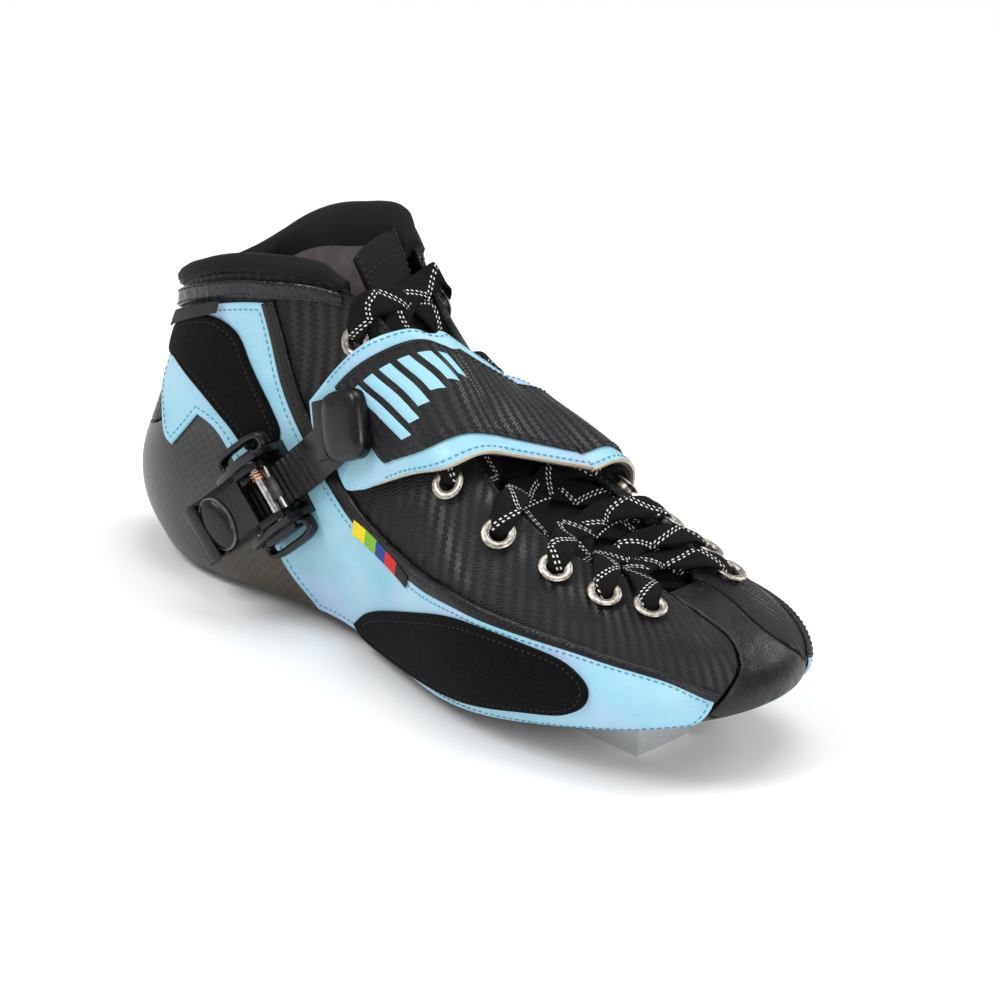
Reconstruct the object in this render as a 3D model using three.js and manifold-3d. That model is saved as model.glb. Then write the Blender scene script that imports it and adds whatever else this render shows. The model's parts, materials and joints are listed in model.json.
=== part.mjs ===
// Speed skating boot, right foot: carbon shell, twill upper, overlays, laces, instep strap and ratchet buckle.
// Millimetres. +X points to the toe, +Y to the medial side and +Z up. The boot stands on its two frame mounts.
import * as THREE from "three";
import { mergeVertices } from "three/addons/utils/BufferGeometryUtils.js";
import Module from "manifold-3d";

const wasm = await Module();
wasm.setup();

// ---------------------------------------------------------------- driving dimensions
const BOOT_LENGTH = 285;
const BALL_WIDTH = 93.5;
const CUFF_HEIGHT = 142; // top of the medial cuff above the mounts
const HEEL_RADIUS = 30.5; // plan radius at the back of the heel
const TOE_RADIUS = 58;
const WALL = 1.8; // carbon shell and quarters
const GAP = 0.3; // between neighbouring pieces
const OVERLAY = 1.0; // side panels and collar facing
const PAD = 1.6; // felt abrasion pads
const FOAM = 3.6;
const LINING = 0.9;
const INSOLE = 3;
const SHELL_BELLY = 3; // the sole bulges below its edge by this much

const MOUNT_SPACING = 195; // between the two frame bolts
const HEEL_MOUNT_X = 38; // heel bolt's axis, from the back of the heel
const LAND = 10; // from a bolt's axis back to the middle of the land behind it, where the part's origin is
const MOUNT_FACE = 3.5; // height of the mounts' faces in the frame of the last
const MOUNT_LENGTH = 32;
const MOUNT_WIDTH = 28;
const INSERT_RADIUS = 5;
const INSERT_BORE = 2.6; // core of an M6 thread

const EYELET_RADIUS = 6;
const EYELET_HOLE = 3.6;
const EYELET_WALL = 0.5;
const EYELET_RIM = 1.7; // height of the rolled rim above the quarter
const LACE_WIDTH = 8;
const LACE_THICK = 1.4;
const LACE_IN_HOLE = 4; // width where the lace is bunched in an eyelet

const STRAP_THICK = 1.3;
const LADDER_WIDTH = 16;
const LADDER_WEB = 1.4;
const TOOTH_HEIGHT = 1.2;
const TOOTH_PITCH = 3;
const CAP_WIDTH = 26;
const CAP_LENGTH = 28;
const CAP_HEIGHT = 6.5;

const PIN_RADIUS = 1.5;
const DRIVE_RADIUS = 1.1;
const PIN_CLEARANCE = 0.12;
const RIVET_RADIUS = 2;

// ---------------------------------------------------------------- curves
// A smooth curve through [u, value] points.
function curve(points) {
  const u = points.map((p) => p[0]);
  const v = points.map((p) => p[1]);
  const last = points.length - 1;
  const slope = (i) => (v[i + 1] - v[i]) / (u[i + 1] - u[i]);
  const tangent = v.map((_, i) => {
    if (i === 0) return slope(0);
    if (i === last) return slope(last - 1);
    const before = u[i] - u[i - 1];
    const after = u[i + 1] - u[i];
    return (slope(i - 1) * after + slope(i) * before) / (before + after);
  });
  return (at) => {
    const x = Math.min(Math.max(at, u[0]), u[last]);
    let i = 0;
    while (i < last - 1 && x >= u[i + 1]) i++;
    const h = u[i + 1] - u[i];
    const s = (x - u[i]) / h;
    const s2 = s * s;
    const s3 = s2 * s;
    return (
      (2 * s3 - 3 * s2 + 1) * v[i] +
      (s3 - 2 * s2 + s) * h * tangent[i] +
      (3 * s2 - 2 * s3) * v[i + 1] +
      (s3 - s2) * h * tangent[i + 1]
    );
  };
}
const mix = (a, b, k) => a + (b - a) * k;
const ease = (a, b, x) => THREE.MathUtils.smoothstep(x, a, b);
const steps = (n) => Array.from({ length: n + 1 }, (_, i) => i / n);

// ---------------------------------------------------------------- the last: the outer form of the boot
// A point is given by around (0 heel, 1 toe along the lateral side, 2 heel again along the medial side)
// and up (0 sole edge, 1 top line).
const HEEL_LINE = curve([[0, 9], [0.12, 2.5], [0.3, 0], [0.55, 5], [0.8, 13], [1, 16]]);
const TOE_LINE = curve([[0, 13], [0.1, 3], [0.22, 0], [0.38, 2], [0.55, 11], [0.75, 27], [1, 45]]);
const SOLE_EDGE = curve([[0, 10], [0.15, 8], [0.4, 10.5], [0.62, 9], [0.8, 13], [1, 24]]);
const CENTRE_LINE = curve([[0, 2], [0.5, 1], [0.75, 0], [1, 12]]);
// Half widths as shares of the ball width, at shares of the length.
const halfWidth = (shares) => {
  const at = [0.1, 0.25, 0.42, 0.56, 0.7, 0.84];
  const tip = (radius) => Math.sqrt((radius * BOOT_LENGTH) / 2);
  const body = at.map((q, i) => [q, (shares[i] * BALL_WIDTH) / (2 * Math.sqrt(q * (1 - q)))]);
  return curve([[0, tip(HEEL_RADIUS)], ...body, [1, tip(TOE_RADIUS)]]);
};
const LATERAL_WIDTH = halfWidth([0.369, 0.374, 0.332, 0.422, 0.524, 0.492]);
const MEDIAL_WIDTH = halfWidth([0.332, 0.305, 0.305, 0.369, 0.476, 0.513]);
// Top line heights as shares of the cuff height.
const LATERAL_TOP = curve([
  [0, 0.725], [0.1, 0.817], [0.25, 0.901], [0.4, 0.908], [0.55, 0.775], [0.7, 0.613], [0.85, 0.479], [1,
    0.401],
]);
const MEDIAL_TOP = curve([
  [0, 0.725], [0.1, 0.859], [0.25, 0.972], [0.36, 1], [0.44, 0.908], [0.55, 0.732], [0.7, 0.62], [0.85,
    0.493], [1, 0.401],
]);
// How the side wall draws in and rises from the sole edge to the top line, at the ankle and at the forefoot.
const ANKLE_DRAW = curve([[0, 0.81], [0.12, 0.96], [0.28, 1.04], [0.5, 0.91], [0.75, 0.81], [1, 0.85]]);
const FOREFOOT_DRAW = curve([[0, 0.86], [0.12, 0.97], [0.22, 1], [0.4, 0.93], [0.6, 0.74], [0.8, 0.5],
  [1, 0.25]]);
const FOREFOOT_RISE = curve([[0, 0], [0.2, 0.27], [0.4, 0.56], [0.6, 0.79], [0.8, 0.95], [1, 1]]);

function formPoint(around, up) {
  const turn = THREE.MathUtils.euclideanModulo(around, 2);
  const lateral = turn <= 1;
  const s = lateral ? turn : 2 - turn;
  const q = (1 - Math.cos(Math.PI * s)) / 2;
  const back = HEEL_LINE(up);
  const x = back + (BOOT_LENGTH - TOE_LINE(up) - back) * q;
  const fore = ease(0.25, 0.6, q);
  const width = (lateral ? LATERAL_WIDTH(q) : MEDIAL_WIDTH(q)) * mix(ANKLE_DRAW(up), FOREFOOT_DRAW(up),
    fore);
  const y = CENTRE_LINE(q) + (lateral ? -1 : 1) * Math.sin(Math.PI * s) * width;
  const top = CUFF_HEIGHT * (lateral ? LATERAL_TOP(q) : MEDIAL_TOP(q));
  const z = mix(SOLE_EDGE(q), top, mix(up, FOREFOOT_RISE(up), fore));
  return new THREE.Vector3(x, y, z);
}
// Every skin of the boot is made on one grid of stations, and the last is flat between them, so that
// skins at different offsets stay parallel.
const AROUND = 40;
const STATIONS = Array.from({ length: 2 * AROUND + 1 }, (_, i) => (2 * (i - AROUND / 2)) / AROUND);
const LEVELS = steps(6);
const grid = Array.from({ length: AROUND }, (_, i) => LEVELS.map((up) => formPoint((2 * i) / AROUND, up)));
function lastPoint(around, up) {
  const column = (THREE.MathUtils.euclideanModulo(around, 2) * AROUND) / 2;
  const i = Math.floor(column + 1e-9);
  const row = THREE.MathUtils.clamp(up, 0, 1) * (LEVELS.length - 1);
  const j = Math.min(Math.floor(row), LEVELS.length - 2);
  const at = (k) => grid[k % AROUND][j].clone().lerp(grid[k % AROUND][j + 1], row - j);
  return at(i).lerp(at(i + 1), column - i);
}
function lastNormal(around, up) {
  const h = 0.02;
  const low = Math.max(up - h, 0);
  const high = Math.min(up + h, 1);
  const along = lastPoint(around + h, up).sub(lastPoint(around - h, up));
  const rise = lastPoint(around, high).sub(lastPoint(around, low));
  return along.cross(rise).normalize();
}
const onLast = (around, up, off) => lastPoint(around, up).addScaledVector(lastNormal(around, up), off);

// The instep carries the last on across the throat. across runs from -2 (lateral sole edge) through
// -1 (lateral top line), 0 (middle of the instep) and 1 (medial top line) to 2 (medial sole edge).
function instepPoint(along, across) {
  const side = across < 0 ? along : 2 - along;
  if (Math.abs(across) >= 1) return lastPoint(side, 2 - Math.abs(across));
  const left = lastPoint(along, 1);
  const right = lastPoint(2 - along, 1);
  const reach = left.distanceTo(right);
  const climb = (around) => lastPoint(around, 1).sub(lastPoint(around,
    0.96)).normalize().multiplyScalar(reach);
  const [rise, fall] = [climb(along), climb(2 - along).negate()];
  const s = (across + 1) / 2;
  return new THREE.Vector3()
    .addScaledVector(left, 2 * s ** 3 - 3 * s ** 2 + 1)
    .addScaledVector(rise, s ** 3 - 2 * s ** 2 + s)
    .addScaledVector(right, 3 * s ** 2 - 2 * s ** 3)
    .addScaledVector(fall, s ** 3 - s ** 2);
}
function onInstep(along, across, off) {
  const h = 0.006;
  const forward = instepPoint(along + h, across).sub(instepPoint(along - h, across));
  const over = instepPoint(along, across + h).sub(instepPoint(along, across - h));
  return instepPoint(along, across).addScaledVector(forward.cross(over).normalize(), off);
}

const ALONG_MM = 260; // about the size of one unit of around on the lateral side
const UP_MM = 95;
const TOE_UP_MM = 38; // and of up at the toe

// ---------------------------------------------------------------- solids
function geometryFrom(points, faces) {
  const geometry = new THREE.BufferGeometry();
  geometry.setAttribute("position", new THREE.Float32BufferAttribute(points.flatMap((p) => p.toArray()),
    3));
  geometry.setIndex(faces.flat());
  return geometry;
}
function solid(geometry) {
  const bare = geometry.clone();
  bare.deleteAttribute("normal");
  bare.deleteAttribute("uv");
  const merged = mergeVertices(bare, 1e-4);
  const triVerts = [];
  const index = merged.index.array;
  for (let i = 0; i < index.length; i += 3) {
    const [a, b, c] = [index[i], index[i + 1], index[i + 2]];
    if (a !== b && b !== c && c !== a) triVerts.push(a, b, c);
  }
  const turned = (list) => {
    const out = list.slice();
    for (let i = 0; i < out.length; i += 3) [out[i], out[i + 1]] = [out[i + 1], out[i]];
    return out;
  };
  const make = (list) => {
    const mesh = new wasm.Mesh({
      numProp: 3,
      vertProperties: new Float32Array(merged.attributes.position.array),
      triVerts: new Uint32Array(list),
    });
    mesh.merge();
    return new wasm.Manifold(mesh);
  };
  const made = make(triVerts);
  return made.volume() < 0 ? make(turned(triVerts)) : made;
}
function geometryOf(manifold) {
  const mesh = manifold.getMesh();
  const geometry = new THREE.BufferGeometry();
  geometry.setAttribute("position", new THREE.BufferAttribute(new Float32Array(mesh.vertProperties), 3));
  geometry.setIndex(new THREE.BufferAttribute(new Uint32Array(mesh.triVerts), 1));
  return geometry;
}
const placed = (geometry, matrix) => solid(geometry.clone().applyMatrix4(matrix));

// A closed sheet between two grids of points: at(u, v, face) with face 0 inside and 1 outside.
function sheet(us, vs, at) {
  const points = [];
  const faces = [];
  const rows = vs.length;
  const id = (face, i, j) => face * us.length * rows + i * rows + j;
  for (const face of [0, 1]) for (const u of us) for (const v of vs) points.push(at(u, v, face));
  const quad = (a, b, c, d) => faces.push([a, b, c], [a, c, d]);
  for (let i = 0; i < us.length - 1; i++) {
    for (let j = 0; j < rows - 1; j++) {
      quad(id(1, i, j), id(1, i + 1, j), id(1, i + 1, j + 1), id(1, i, j + 1));
      quad(id(0, i, j), id(0, i, j + 1), id(0, i + 1, j + 1), id(0, i + 1, j));
    }
    quad(id(0, i, 0), id(0, i + 1, 0), id(1, i + 1, 0), id(1, i, 0));
    quad(id(1, i, rows - 1), id(1, i + 1, rows - 1), id(0, i + 1, rows - 1), id(0, i, rows - 1));
  }
  const end = us.length - 1;
  for (let j = 0; j < rows - 1; j++) {
    quad(id(0, 0, j + 1), id(0, 0, j), id(1, 0, j), id(1, 0, j + 1));
    quad(id(1, end, j + 1), id(1, end, j), id(0, end, j), id(0, end, j + 1));
  }
  return solid(geometryFrom(points, faces));
}

function skinPoint(turn, up, off) {
  const p = onLast(turn, up, off);
  p.z -= off * (1 - Math.min(up / 0.1, 1)); // keeps the floor as thick as the walls
  return p;
}
// A point of a skin at any height, on the straight line between the two levels next to it.
function chordPoint(turn, up, off) {
  const n = LEVELS.length - 1;
  const k = Math.min(Math.floor(up * n), n - 1);
  return skinPoint(turn, k / n, off).lerp(skinPoint(turn, (k + 1) / n, off), up * n - k);
}
// The boot's form as one closed body, offset from the last, up to a rim, with its lid raised.
function bootForm(off, lid = 0, rim = () => 1) {
  const soles = [1, 0.5, 0];
  const points = [];
  const faces = [];
  const ringSize = soles.length + LEVELS.length;
  for (let i = 0; i < AROUND; i++) {
    const turn = (2 * i) / AROUND;
    const edge = skinPoint(turn, 0, off);
    const centre = skinPoint(2 - turn, 0, off).add(edge).multiplyScalar(0.5);
    for (const r of soles) {
      const p = edge.clone().lerp(centre, r);
      p.z -= SHELL_BELLY * (1 - (1 - r) ** 2) * Math.min(1, Math.abs(Math.sin(Math.PI * turn)) * 2);
      points.push(p);
    }
    for (const up of LEVELS.slice(1)) points.push(chordPoint(turn, Math.min(up, rim(turn)), off));
    const top = chordPoint(turn, rim(turn), off);
    points.push(top.setZ(top.z + lid));
  }
  const id = (i, j) => (i % AROUND) * ringSize + j;
  for (let i = 0; i < AROUND; i++) {
    for (let j = 0; j < ringSize - 1; j++) {
      faces.push([id(i, j), id(i + 1, j), id(i + 1, j + 1)], [id(i, j), id(i + 1, j + 1), id(i, j + 1)]);
    }
  }
  const last = ringSize - 1;
  for (let i = 0; i < AROUND / 2; i++) {
    const [a, b] = [id(i, last), id(i + 1, last)];
    const [c, d] = [id(AROUND - i - 1, last), id(AROUND - i, last)];
    faces.push([a, b, d], [b, c, d]);
  }
  return solid(geometryFrom(points, faces));
}
// A skin between two offsets, over the stations that cover from..to.
function skin(from, to, low, high, lowest = 0, highest = 1) {
  const first = STATIONS.findLastIndex((turn) => turn <= from + 1e-6);
  const last = STATIONS.findIndex((turn) => turn >= to - 1e-6);
  const levels = LEVELS.filter((up) => up > lowest - 1 / 6 && up < highest + 1 / 6);
  return sheet(STATIONS.slice(first, last + 1), levels, (turn, up, face) => skinPoint(turn, up,
    face ? high : low));
}
// A cutter through the skins between two offsets: at(u, v) gives [around, up].
function region(us, vs, at, low = -4, high = 4) {
  return sheet(us, vs, (u, v, face) => onLast(...at(u, v), face ? high : low));
}

// Triangles over a closed outline of [x, y] points, with inner points on a grid of the given spacing (Delaunay).
function triangulate(outline, spacing) {
  const inside = ([x, y]) => {
    let odd = false;
    outline.forEach(([ax, ay], i) => {
      const [bx, by] = outline[(i + 1) % outline.length];
      if (ay > y !== by > y && x < ((bx - ax) * (y - ay)) / (by - ay) + ax) odd = !odd;
    });
    return odd;
  };
  const clear = ([x, y]) => outline.every(([ax, ay]) => Math.hypot(ax - x, ay - y) > 0.6 * spacing);
  const xs = outline.map((p) => p[0]);
  const ys = outline.map((p) => p[1]);
  const points = outline.slice();
  for (let x = Math.min(...xs), i = 0; x < Math.max(...xs); x += spacing, i++) {
    for (let y = Math.min(...ys), j = 0; y < Math.max(...ys); y += spacing, j++) {
      const p = [x + 0.07 * spacing * Math.sin(9 * j + i), y + (i % 2) * 0.5 * spacing];
      if (inside(p) && clear(p)) points.push(p);
    }
  }
  const far = 1e4;
  const all = [...points, [-far, -far], [far, -far], [0, far]];
  const circle = (a, b, c) => {
    const [[ax, ay], [bx, by], [cx, cy]] = [all[a], all[b], all[c]];
    const d = 2 * (ax * (by - cy) + bx * (cy - ay) + cx * (ay - by));
    const [a2, b2, c2] = [ax * ax + ay * ay, bx * bx + by * by, cx * cx + cy * cy];
    const x = (a2 * (by - cy) + b2 * (cy - ay) + c2 * (ay - by)) / d;
    const y = (a2 * (cx - bx) + b2 * (ax - cx) + c2 * (bx - ax)) / d;
    return { face: [a, b, c], x, y, r2: (ax - x) ** 2 + (ay - y) ** 2 };
  };
  const n = points.length;
  let cells = [circle(n, n + 1, n + 2)];
  points.forEach(([x, y], k) => {
    const edges = new Map();
    cells = cells.filter((cell) => {
      if ((cell.x - x) ** 2 + (cell.y - y) ** 2 > cell.r2) return true;
      cell.face.forEach((a, i) => {
        const b = cell.face[(i + 1) % 3];
        if (!edges.delete(b + "," + a)) edges.set(a + "," + b, [a, b]);
      });
      return false;
    });
    for (const [a, b] of edges.values()) cells.push(circle(a, b, k));
  });
  const centre = (face) => [0, 1].map((axis) => face.reduce((sum, i) => sum + all[i][axis] / 3, 0));
  const faces = cells.map((cell) => cell.face).filter((face) => face.every((i) => i < n) && inside(centre(face)));
  return { points, faces };
}
// A panel cut to an outline of [around, up] points and laid on the last between two offsets.
function prism(points, spacing, place) {
  const flat = triangulate(points.map(([a, b]) => [a * ALONG_MM, b * UP_MM]), spacing);
  const level = (face) => flat.points.map(([x, y]) => place(x / ALONG_MM, y / UP_MM, face));
  const n = flat.points.length;
  const faces = [];
  const edges = new Map();
  for (const [a, b, c] of flat.faces) {
    faces.push([a, b, c], [n + b, n + a, n + c]);
    for (const [p, q] of [[a, b], [b, c], [c, a]]) {
      if (!edges.delete(q + "," + p)) edges.set(p + "," + q, [p, q]);
    }
  }
  for (const [p, q] of edges.values()) faces.push([q, p, n + p], [q, n + p, n + q]);
  return solid(geometryFrom([...level(1), ...level(0)], faces));
}
function panel(points, low, high) {
  const turns = points.map((p) => p[0]);
  const ups = points.map((p) => p[1]);
  const cutter = prism(points, 14, (around, up, face) => onLast(around, up, face ? 8 : -6));
  const sheetOver = skin(Math.min(...turns), Math.max(...turns), low, high, Math.min(...ups),
    Math.max(...ups));
  return sheetOver.intersect(cutter);
}
// A closed outline through corner points: smooth runs between the corners that are listed as separate arrays.
function outline(runs, per = 8) {
  const points = [];
  for (const run of runs) {
    const path = new THREE.CatmullRomCurve3(run.map(([a, b]) => new THREE.Vector3(a * ALONG_MM,
      b * UP_MM, 0)), false, "centripetal");
    const dense = path.getSpacedPoints(Math.max(1, Math.round(path.getLength() / per)));
    dense.slice(0, -1).forEach((p) => points.push([p.x / ALONG_MM, p.y / UP_MM]));
  }
  return points;
}
const mirrored = (points) => points.map(([around, up]) => [2 - around, up]).reverse();

const box = (x0, x1, y0, y1, z0, z1) =>
  new THREE.BoxGeometry(x1 - x0, y1 - y0, z1 - z0).translate((x0 + x1) / 2, (y0 + y1) / 2, (z0 + z1) / 2);
const acrossPin = (radius, x, z, y0, y1, sides = 20) =>
  new THREE.CylinderGeometry(radius, radius, y1 - y0, sides).translate(x, (y0 + y1) / 2, z);
// A profile of [x, z] points, extruded across the buckle from y0 to y1.
function acrossPlate(profile, y0, y1) {
  const shape = new THREE.Shape(profile.map(([x, z]) => new THREE.Vector2(x, z)));
  return new THREE.ExtrudeGeometry(shape, { depth: y1 - y0, bevelEnabled: false })
    .rotateX(Math.PI / 2)
    .translate(0, y1, 0);
}

// ---------------------------------------------------------------- materials
const finish = (color, roughness, metalness = 0) => new THREE.MeshStandardMaterial({ color, roughness,
  metalness });
const CARBON = finish("#2a2b2c", 0.35, 0.1);
const TWILL = finish("#1b1b1c", 0.45);
const SMOOTH_LEATHER = finish("#17181a", 0.4);
const BLUE_LEATHER = finish("#a3d3e6", 0.45);
const FELT = finish("#141414", 0.95);
const NEOPRENE = finish("#111112", 0.6);
const SUEDE = finish("#5a5152", 0.95);
const LACE = finish("#161514", 0.85);
const NYLON = finish("#121213", 0.35);
const STEEL = finish("#a9a39b", 0.3, 1);
const ALUMINIUM = finish("#b9bcbf", 0.4, 1);
const COPPER = finish("#b98a6a", 0.3, 1);
const LABEL = finish("#1c1c1c", 0.8);

const boot = new THREE.Group();
function add(name, manifold, material) {
  const mesh = new THREE.Mesh(geometryOf(manifold.translate([LAND - HEEL_MOUNT_X, 0, -MOUNT_FACE])),
    material);
  mesh.name = name;
  boot.add(mesh);
}

// ---------------------------------------------------------------- shell, mounts and sole
const sideOf = (turn) => (turn <= 1 ? turn : 2 - turn);
const SHELL_RIM = curve([
  [0, 0.41], [0.18, 0.46], [0.26, 0.58], [0.33, 0.55], [0.41, 0.33], [0.5, 0.2], [0.62, 0.12], [0.75,
    0.1], [1, 0.1],
]);
const shellRim = (turn) => SHELL_RIM(sideOf(THREE.MathUtils.euclideanModulo(turn, 2)));
const belowUpper = bootForm(GAP, 0,
  (turn) => shellRim(turn) + (1.6 * GAP) / TOE_UP_MM); // what the upper leaves to the shell

// ---------------------------------------------------------------- buckle place: a frame on the lateral wall
const BUCKLE_AT = [0.377, 0.33];
const CAP_AT = [0.466, 0.565];
const bucklePoint = onLast(...BUCKLE_AT, GAP * 2 + OVERLAY);
const buckleOut = lastNormal(...BUCKLE_AT);
const toCap = lastPoint(...CAP_AT).sub(bucklePoint);
const buckleAlong = toCap.addScaledVector(buckleOut, -toCap.dot(buckleOut)).normalize();
const buckleAcross = buckleOut.clone().cross(buckleAlong);
const BUCKLE = new THREE.Matrix4().makeBasis(buckleAlong, buckleAcross, buckleOut).setPosition(bucklePoint);

// Levels and stations in the buckle's own frame: x along the ladder to the strap, z out from the boot.
const FLOOR_TOP = 1.6;
const RIVET_HEAD = 0.6;
const LADDER_LOW = FLOOR_TOP + RIVET_HEAD + GAP;
const TEETH_TOP = LADDER_LOW + LADDER_WEB + TOOTH_HEIGHT;
const ARM_IN = LADDER_WIDTH / 2 + 0.5; // lever arms clear the ladder's edges
const ARM_OUT = ARM_IN + 2.7;
const WALL_IN = ARM_OUT + 0.4;
const WALL_OUT = WALL_IN + 2.6;
const FLOOR_BACK = -15;
const FLOOR_FRONT = 15;
const LEVER_PIN = [8, TEETH_TOP + 5.9];
const DRIVE_PIN = [9.2, TEETH_TOP + 2];
const LOCK_PIN = [-6, TEETH_TOP + 2.7];
const RIVETS = [-9, 4];

const buckleSpace = placed(box(FLOOR_BACK - 1, FLOOR_FRONT + 1, -WALL_OUT - 1, WALL_OUT + 1, -8, 20),
  BUCKLE);
const rivetHole = (x) => {
  const hole = new THREE.CylinderGeometry(RIVET_RADIUS + GAP, RIVET_RADIUS + GAP, 30,
    16).rotateX(Math.PI / 2);
  return placed(hole.translate(x, 0, 0), BUCKLE);
};
const BOLTS = [HEEL_MOUNT_X, HEEL_MOUNT_X + MOUNT_SPACING];
const upright = (radius, length, segments) => new THREE.CylinderGeometry(radius, radius, length,
  segments).rotateX(Math.PI / 2);
const insertHole = (x) => solid(upright(INSERT_RADIUS + GAP, 60, 24).translate(x, 0, 0));
function shell() {
  let cup = bootForm(0, 0, shellRim).subtract(bootForm(-WALL, 12));
  for (const x of RIVETS) cup = cup.subtract(rivetHole(x));
  for (const x of BOLTS) cup = cup.subtract(insertHole(x));
  return cup;
}
add("carbon_shell", shell(), CARBON);

const mountSpace = bootForm(GAP);
function mountBlock(x) {
  const block = box(x - MOUNT_LENGTH / 2, x + MOUNT_LENGTH / 2, -MOUNT_WIDTH / 2, MOUNT_WIDTH / 2,
    MOUNT_FACE, 16);
  return solid(block).subtract(mountSpace).subtract(insertHole(x));
}
// The thread insert runs through the block and the shell, up to the shell's inner face.
function threadInsert(x) {
  const barrel = solid(upright(INSERT_RADIUS, 20, 24).translate(x, 0, MOUNT_FACE + 10));
  return barrel.subtract(solid(upright(INSERT_BORE, 60, 24).translate(x, 0, 0))).subtract(bootForm(-WALL,
    12));
}
["heel", "front"].forEach((end, i) => {
  add(end + "_mount_block", mountBlock(BOLTS[i]), ALUMINIUM);
  add(end + "_thread_insert", threadInsert(BOLTS[i]), STEEL);
});

// ---------------------------------------------------------------- upper
// Where the quarters end at the throat, and the seam between them and the toe cap.
const THROAT_EDGE = curve([[0, 1], [0.45, 1], [0.52, 0.95], [0.62, 0.88], [0.72, 0.86], [0.8, 0.92], [1,
  0.93]]);
const throatEdge = (turn) => THROAT_EDGE(sideOf(THREE.MathUtils.euclideanModulo(turn, 2)));
const TOE_SEAM = curve([[0, 0.89], [0.15, 0.897], [0.3, 0.92], [0.5, 0.955], [0.62, 0.962], [0.75,
  0.945], [0.93, 0.915]]);
const seamGap = (2 * GAP) / ALONG_MM;
const BACK_SEAM = 0.004; // half of the gap between the two quarters at the heel

const EYELETS = [[0.853, 0.735], [0.785, 0.715], [0.72, 0.7], [0.653, 0.665], [0.585, 0.64], [0.515,
  0.71], [0.447, 0.81]];
function eyeletMatrix([around, up], off) {
  const out = lastNormal(around, up);
  const across = new THREE.Vector3(1, 0, 0).addScaledVector(out, -out.x).normalize();
  return new THREE.Matrix4().makeBasis(across, out.clone().cross(across), out).setPosition(onLast(around,
    up, off));
}
const onSide = ([around, up], medial) => [medial ? 2 - around : around, up];
function eyeletHoles(medial, radius) {
  const punch = new THREE.CylinderGeometry(radius, radius, 8, 16).rotateX(Math.PI / 2);
  return EYELETS.map((at) => placed(punch, eyeletMatrix(onSide(at, medial), 0)));
}

function quarter(medial, grow = 0) {
  const flip = (turn) => (medial ? 2 - turn : turn);
  const area = region(steps(26), steps(6), (u, v) => {
    const guess = mix(BACK_SEAM, TOE_SEAM(v * 0.93), u);
    const up = mix(0.06, throatEdge(guess), v);
    return [flip(mix(BACK_SEAM, TOE_SEAM(up) - seamGap, u)), up];
  });
  let made = skin(medial ? 1 : 0, medial ? 2 : 1, -WALL - grow, grow).intersect(area).subtract(belowUpper);
  for (const hole of eyeletHoles(medial, EYELET_HOLE + GAP - grow)) made = made.subtract(hole);
  return made;
}
const side = (medial) => (medial ? "medial" : "lateral");
for (const medial of [false, true]) add("quarter_" + side(medial), quarter(medial), TWILL);

function toeCap() {
  const area = region(steps(10), steps(6), (u, v) => {
    const up = mix(0.06, 0.93, v);
    const reach = 1 - TOE_SEAM(up) - seamGap;
    return [1 + mix(-reach, reach, u), up];
  });
  return skin(0.85, 1.15, -WALL, 0).intersect(area).subtract(belowUpper);
}
add("toe_cap", toeCap(), SMOOTH_LEATHER);

// ---------------------------------------------------------------- padding, lining, footbed
const FOAM_OUT = -(WALL + 2 * GAP);
const FOAM_IN = FOAM_OUT - FOAM;
const LINING_OUT = FOAM_IN - 2 * GAP;
const LINING_IN = LINING_OUT - LINING;
const FOAM_FRONT = 0.4; // around, where the ankle padding ends on each side
const wrap = (low, high, from, to) => {
  const us = [-FOAM_FRONT, ...STATIONS.filter((turn) => Math.abs(turn) < FOAM_FRONT - 0.01), FOAM_FRONT];
  return sheet(us, steps(5), (turn, v, face) => onLast(turn, mix(from, to, v), face ? high : low));
};
add("ankle_padding", wrap(FOAM_IN, FOAM_OUT, 0.17, 0.95), FELT);

const CUFF_LOW = 0.76; // the cuff's inner skirt starts here and the lining ends below it
add("heel_lining", wrap(LINING_IN, LINING_OUT, 0.19, CUFF_LOW - 0.01), SUEDE);

const FOOTBED_IN = 7; // the footbed's edge lies this far inside the last
function footbed() {
  const outlineAt = (turn, off, z) => {
    const p = onLast(turn, 0, off);
    return p.setZ(z);
  };
  const floor = (turn) => lastPoint(turn, 0).z + WALL + GAP * 4;
  const at = (u, v, face) => {
    const turn = mix(0.02, 0.98, u);
    const z = floor(turn) + (face ? INSOLE : 0);
    return outlineAt(turn, -FOOTBED_IN, z).lerp(outlineAt(2 - turn, -FOOTBED_IN, z), v);
  };
  return sheet(steps(26), steps(4), at);
}
add("footbed", footbed(), SUEDE);

// ---------------------------------------------------------------- collar: facing outside, padded cuff over the top line
const COLLAR_FRONT = 0.43;
const FACING_LOW = curve([[-COLLAR_FRONT, 0.93], [-0.3, 0.92], [0, 0.9], [0.28, 0.93], [COLLAR_FRONT,
  0.935]]);
const collarStations = [-COLLAR_FRONT,
  ...STATIONS.filter((turn) => Math.abs(turn) < COLLAR_FRONT - 0.01), COLLAR_FRONT];
const collarFacing = sheet(collarStations, [0, 1], (turn, v, face) =>
  onLast(turn, mix(FACING_LOW(turn), 0.985, v), face ? 3 * GAP + OVERLAY : 3 * GAP),
);
add("collar_facing", collarFacing, TWILL);

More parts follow.
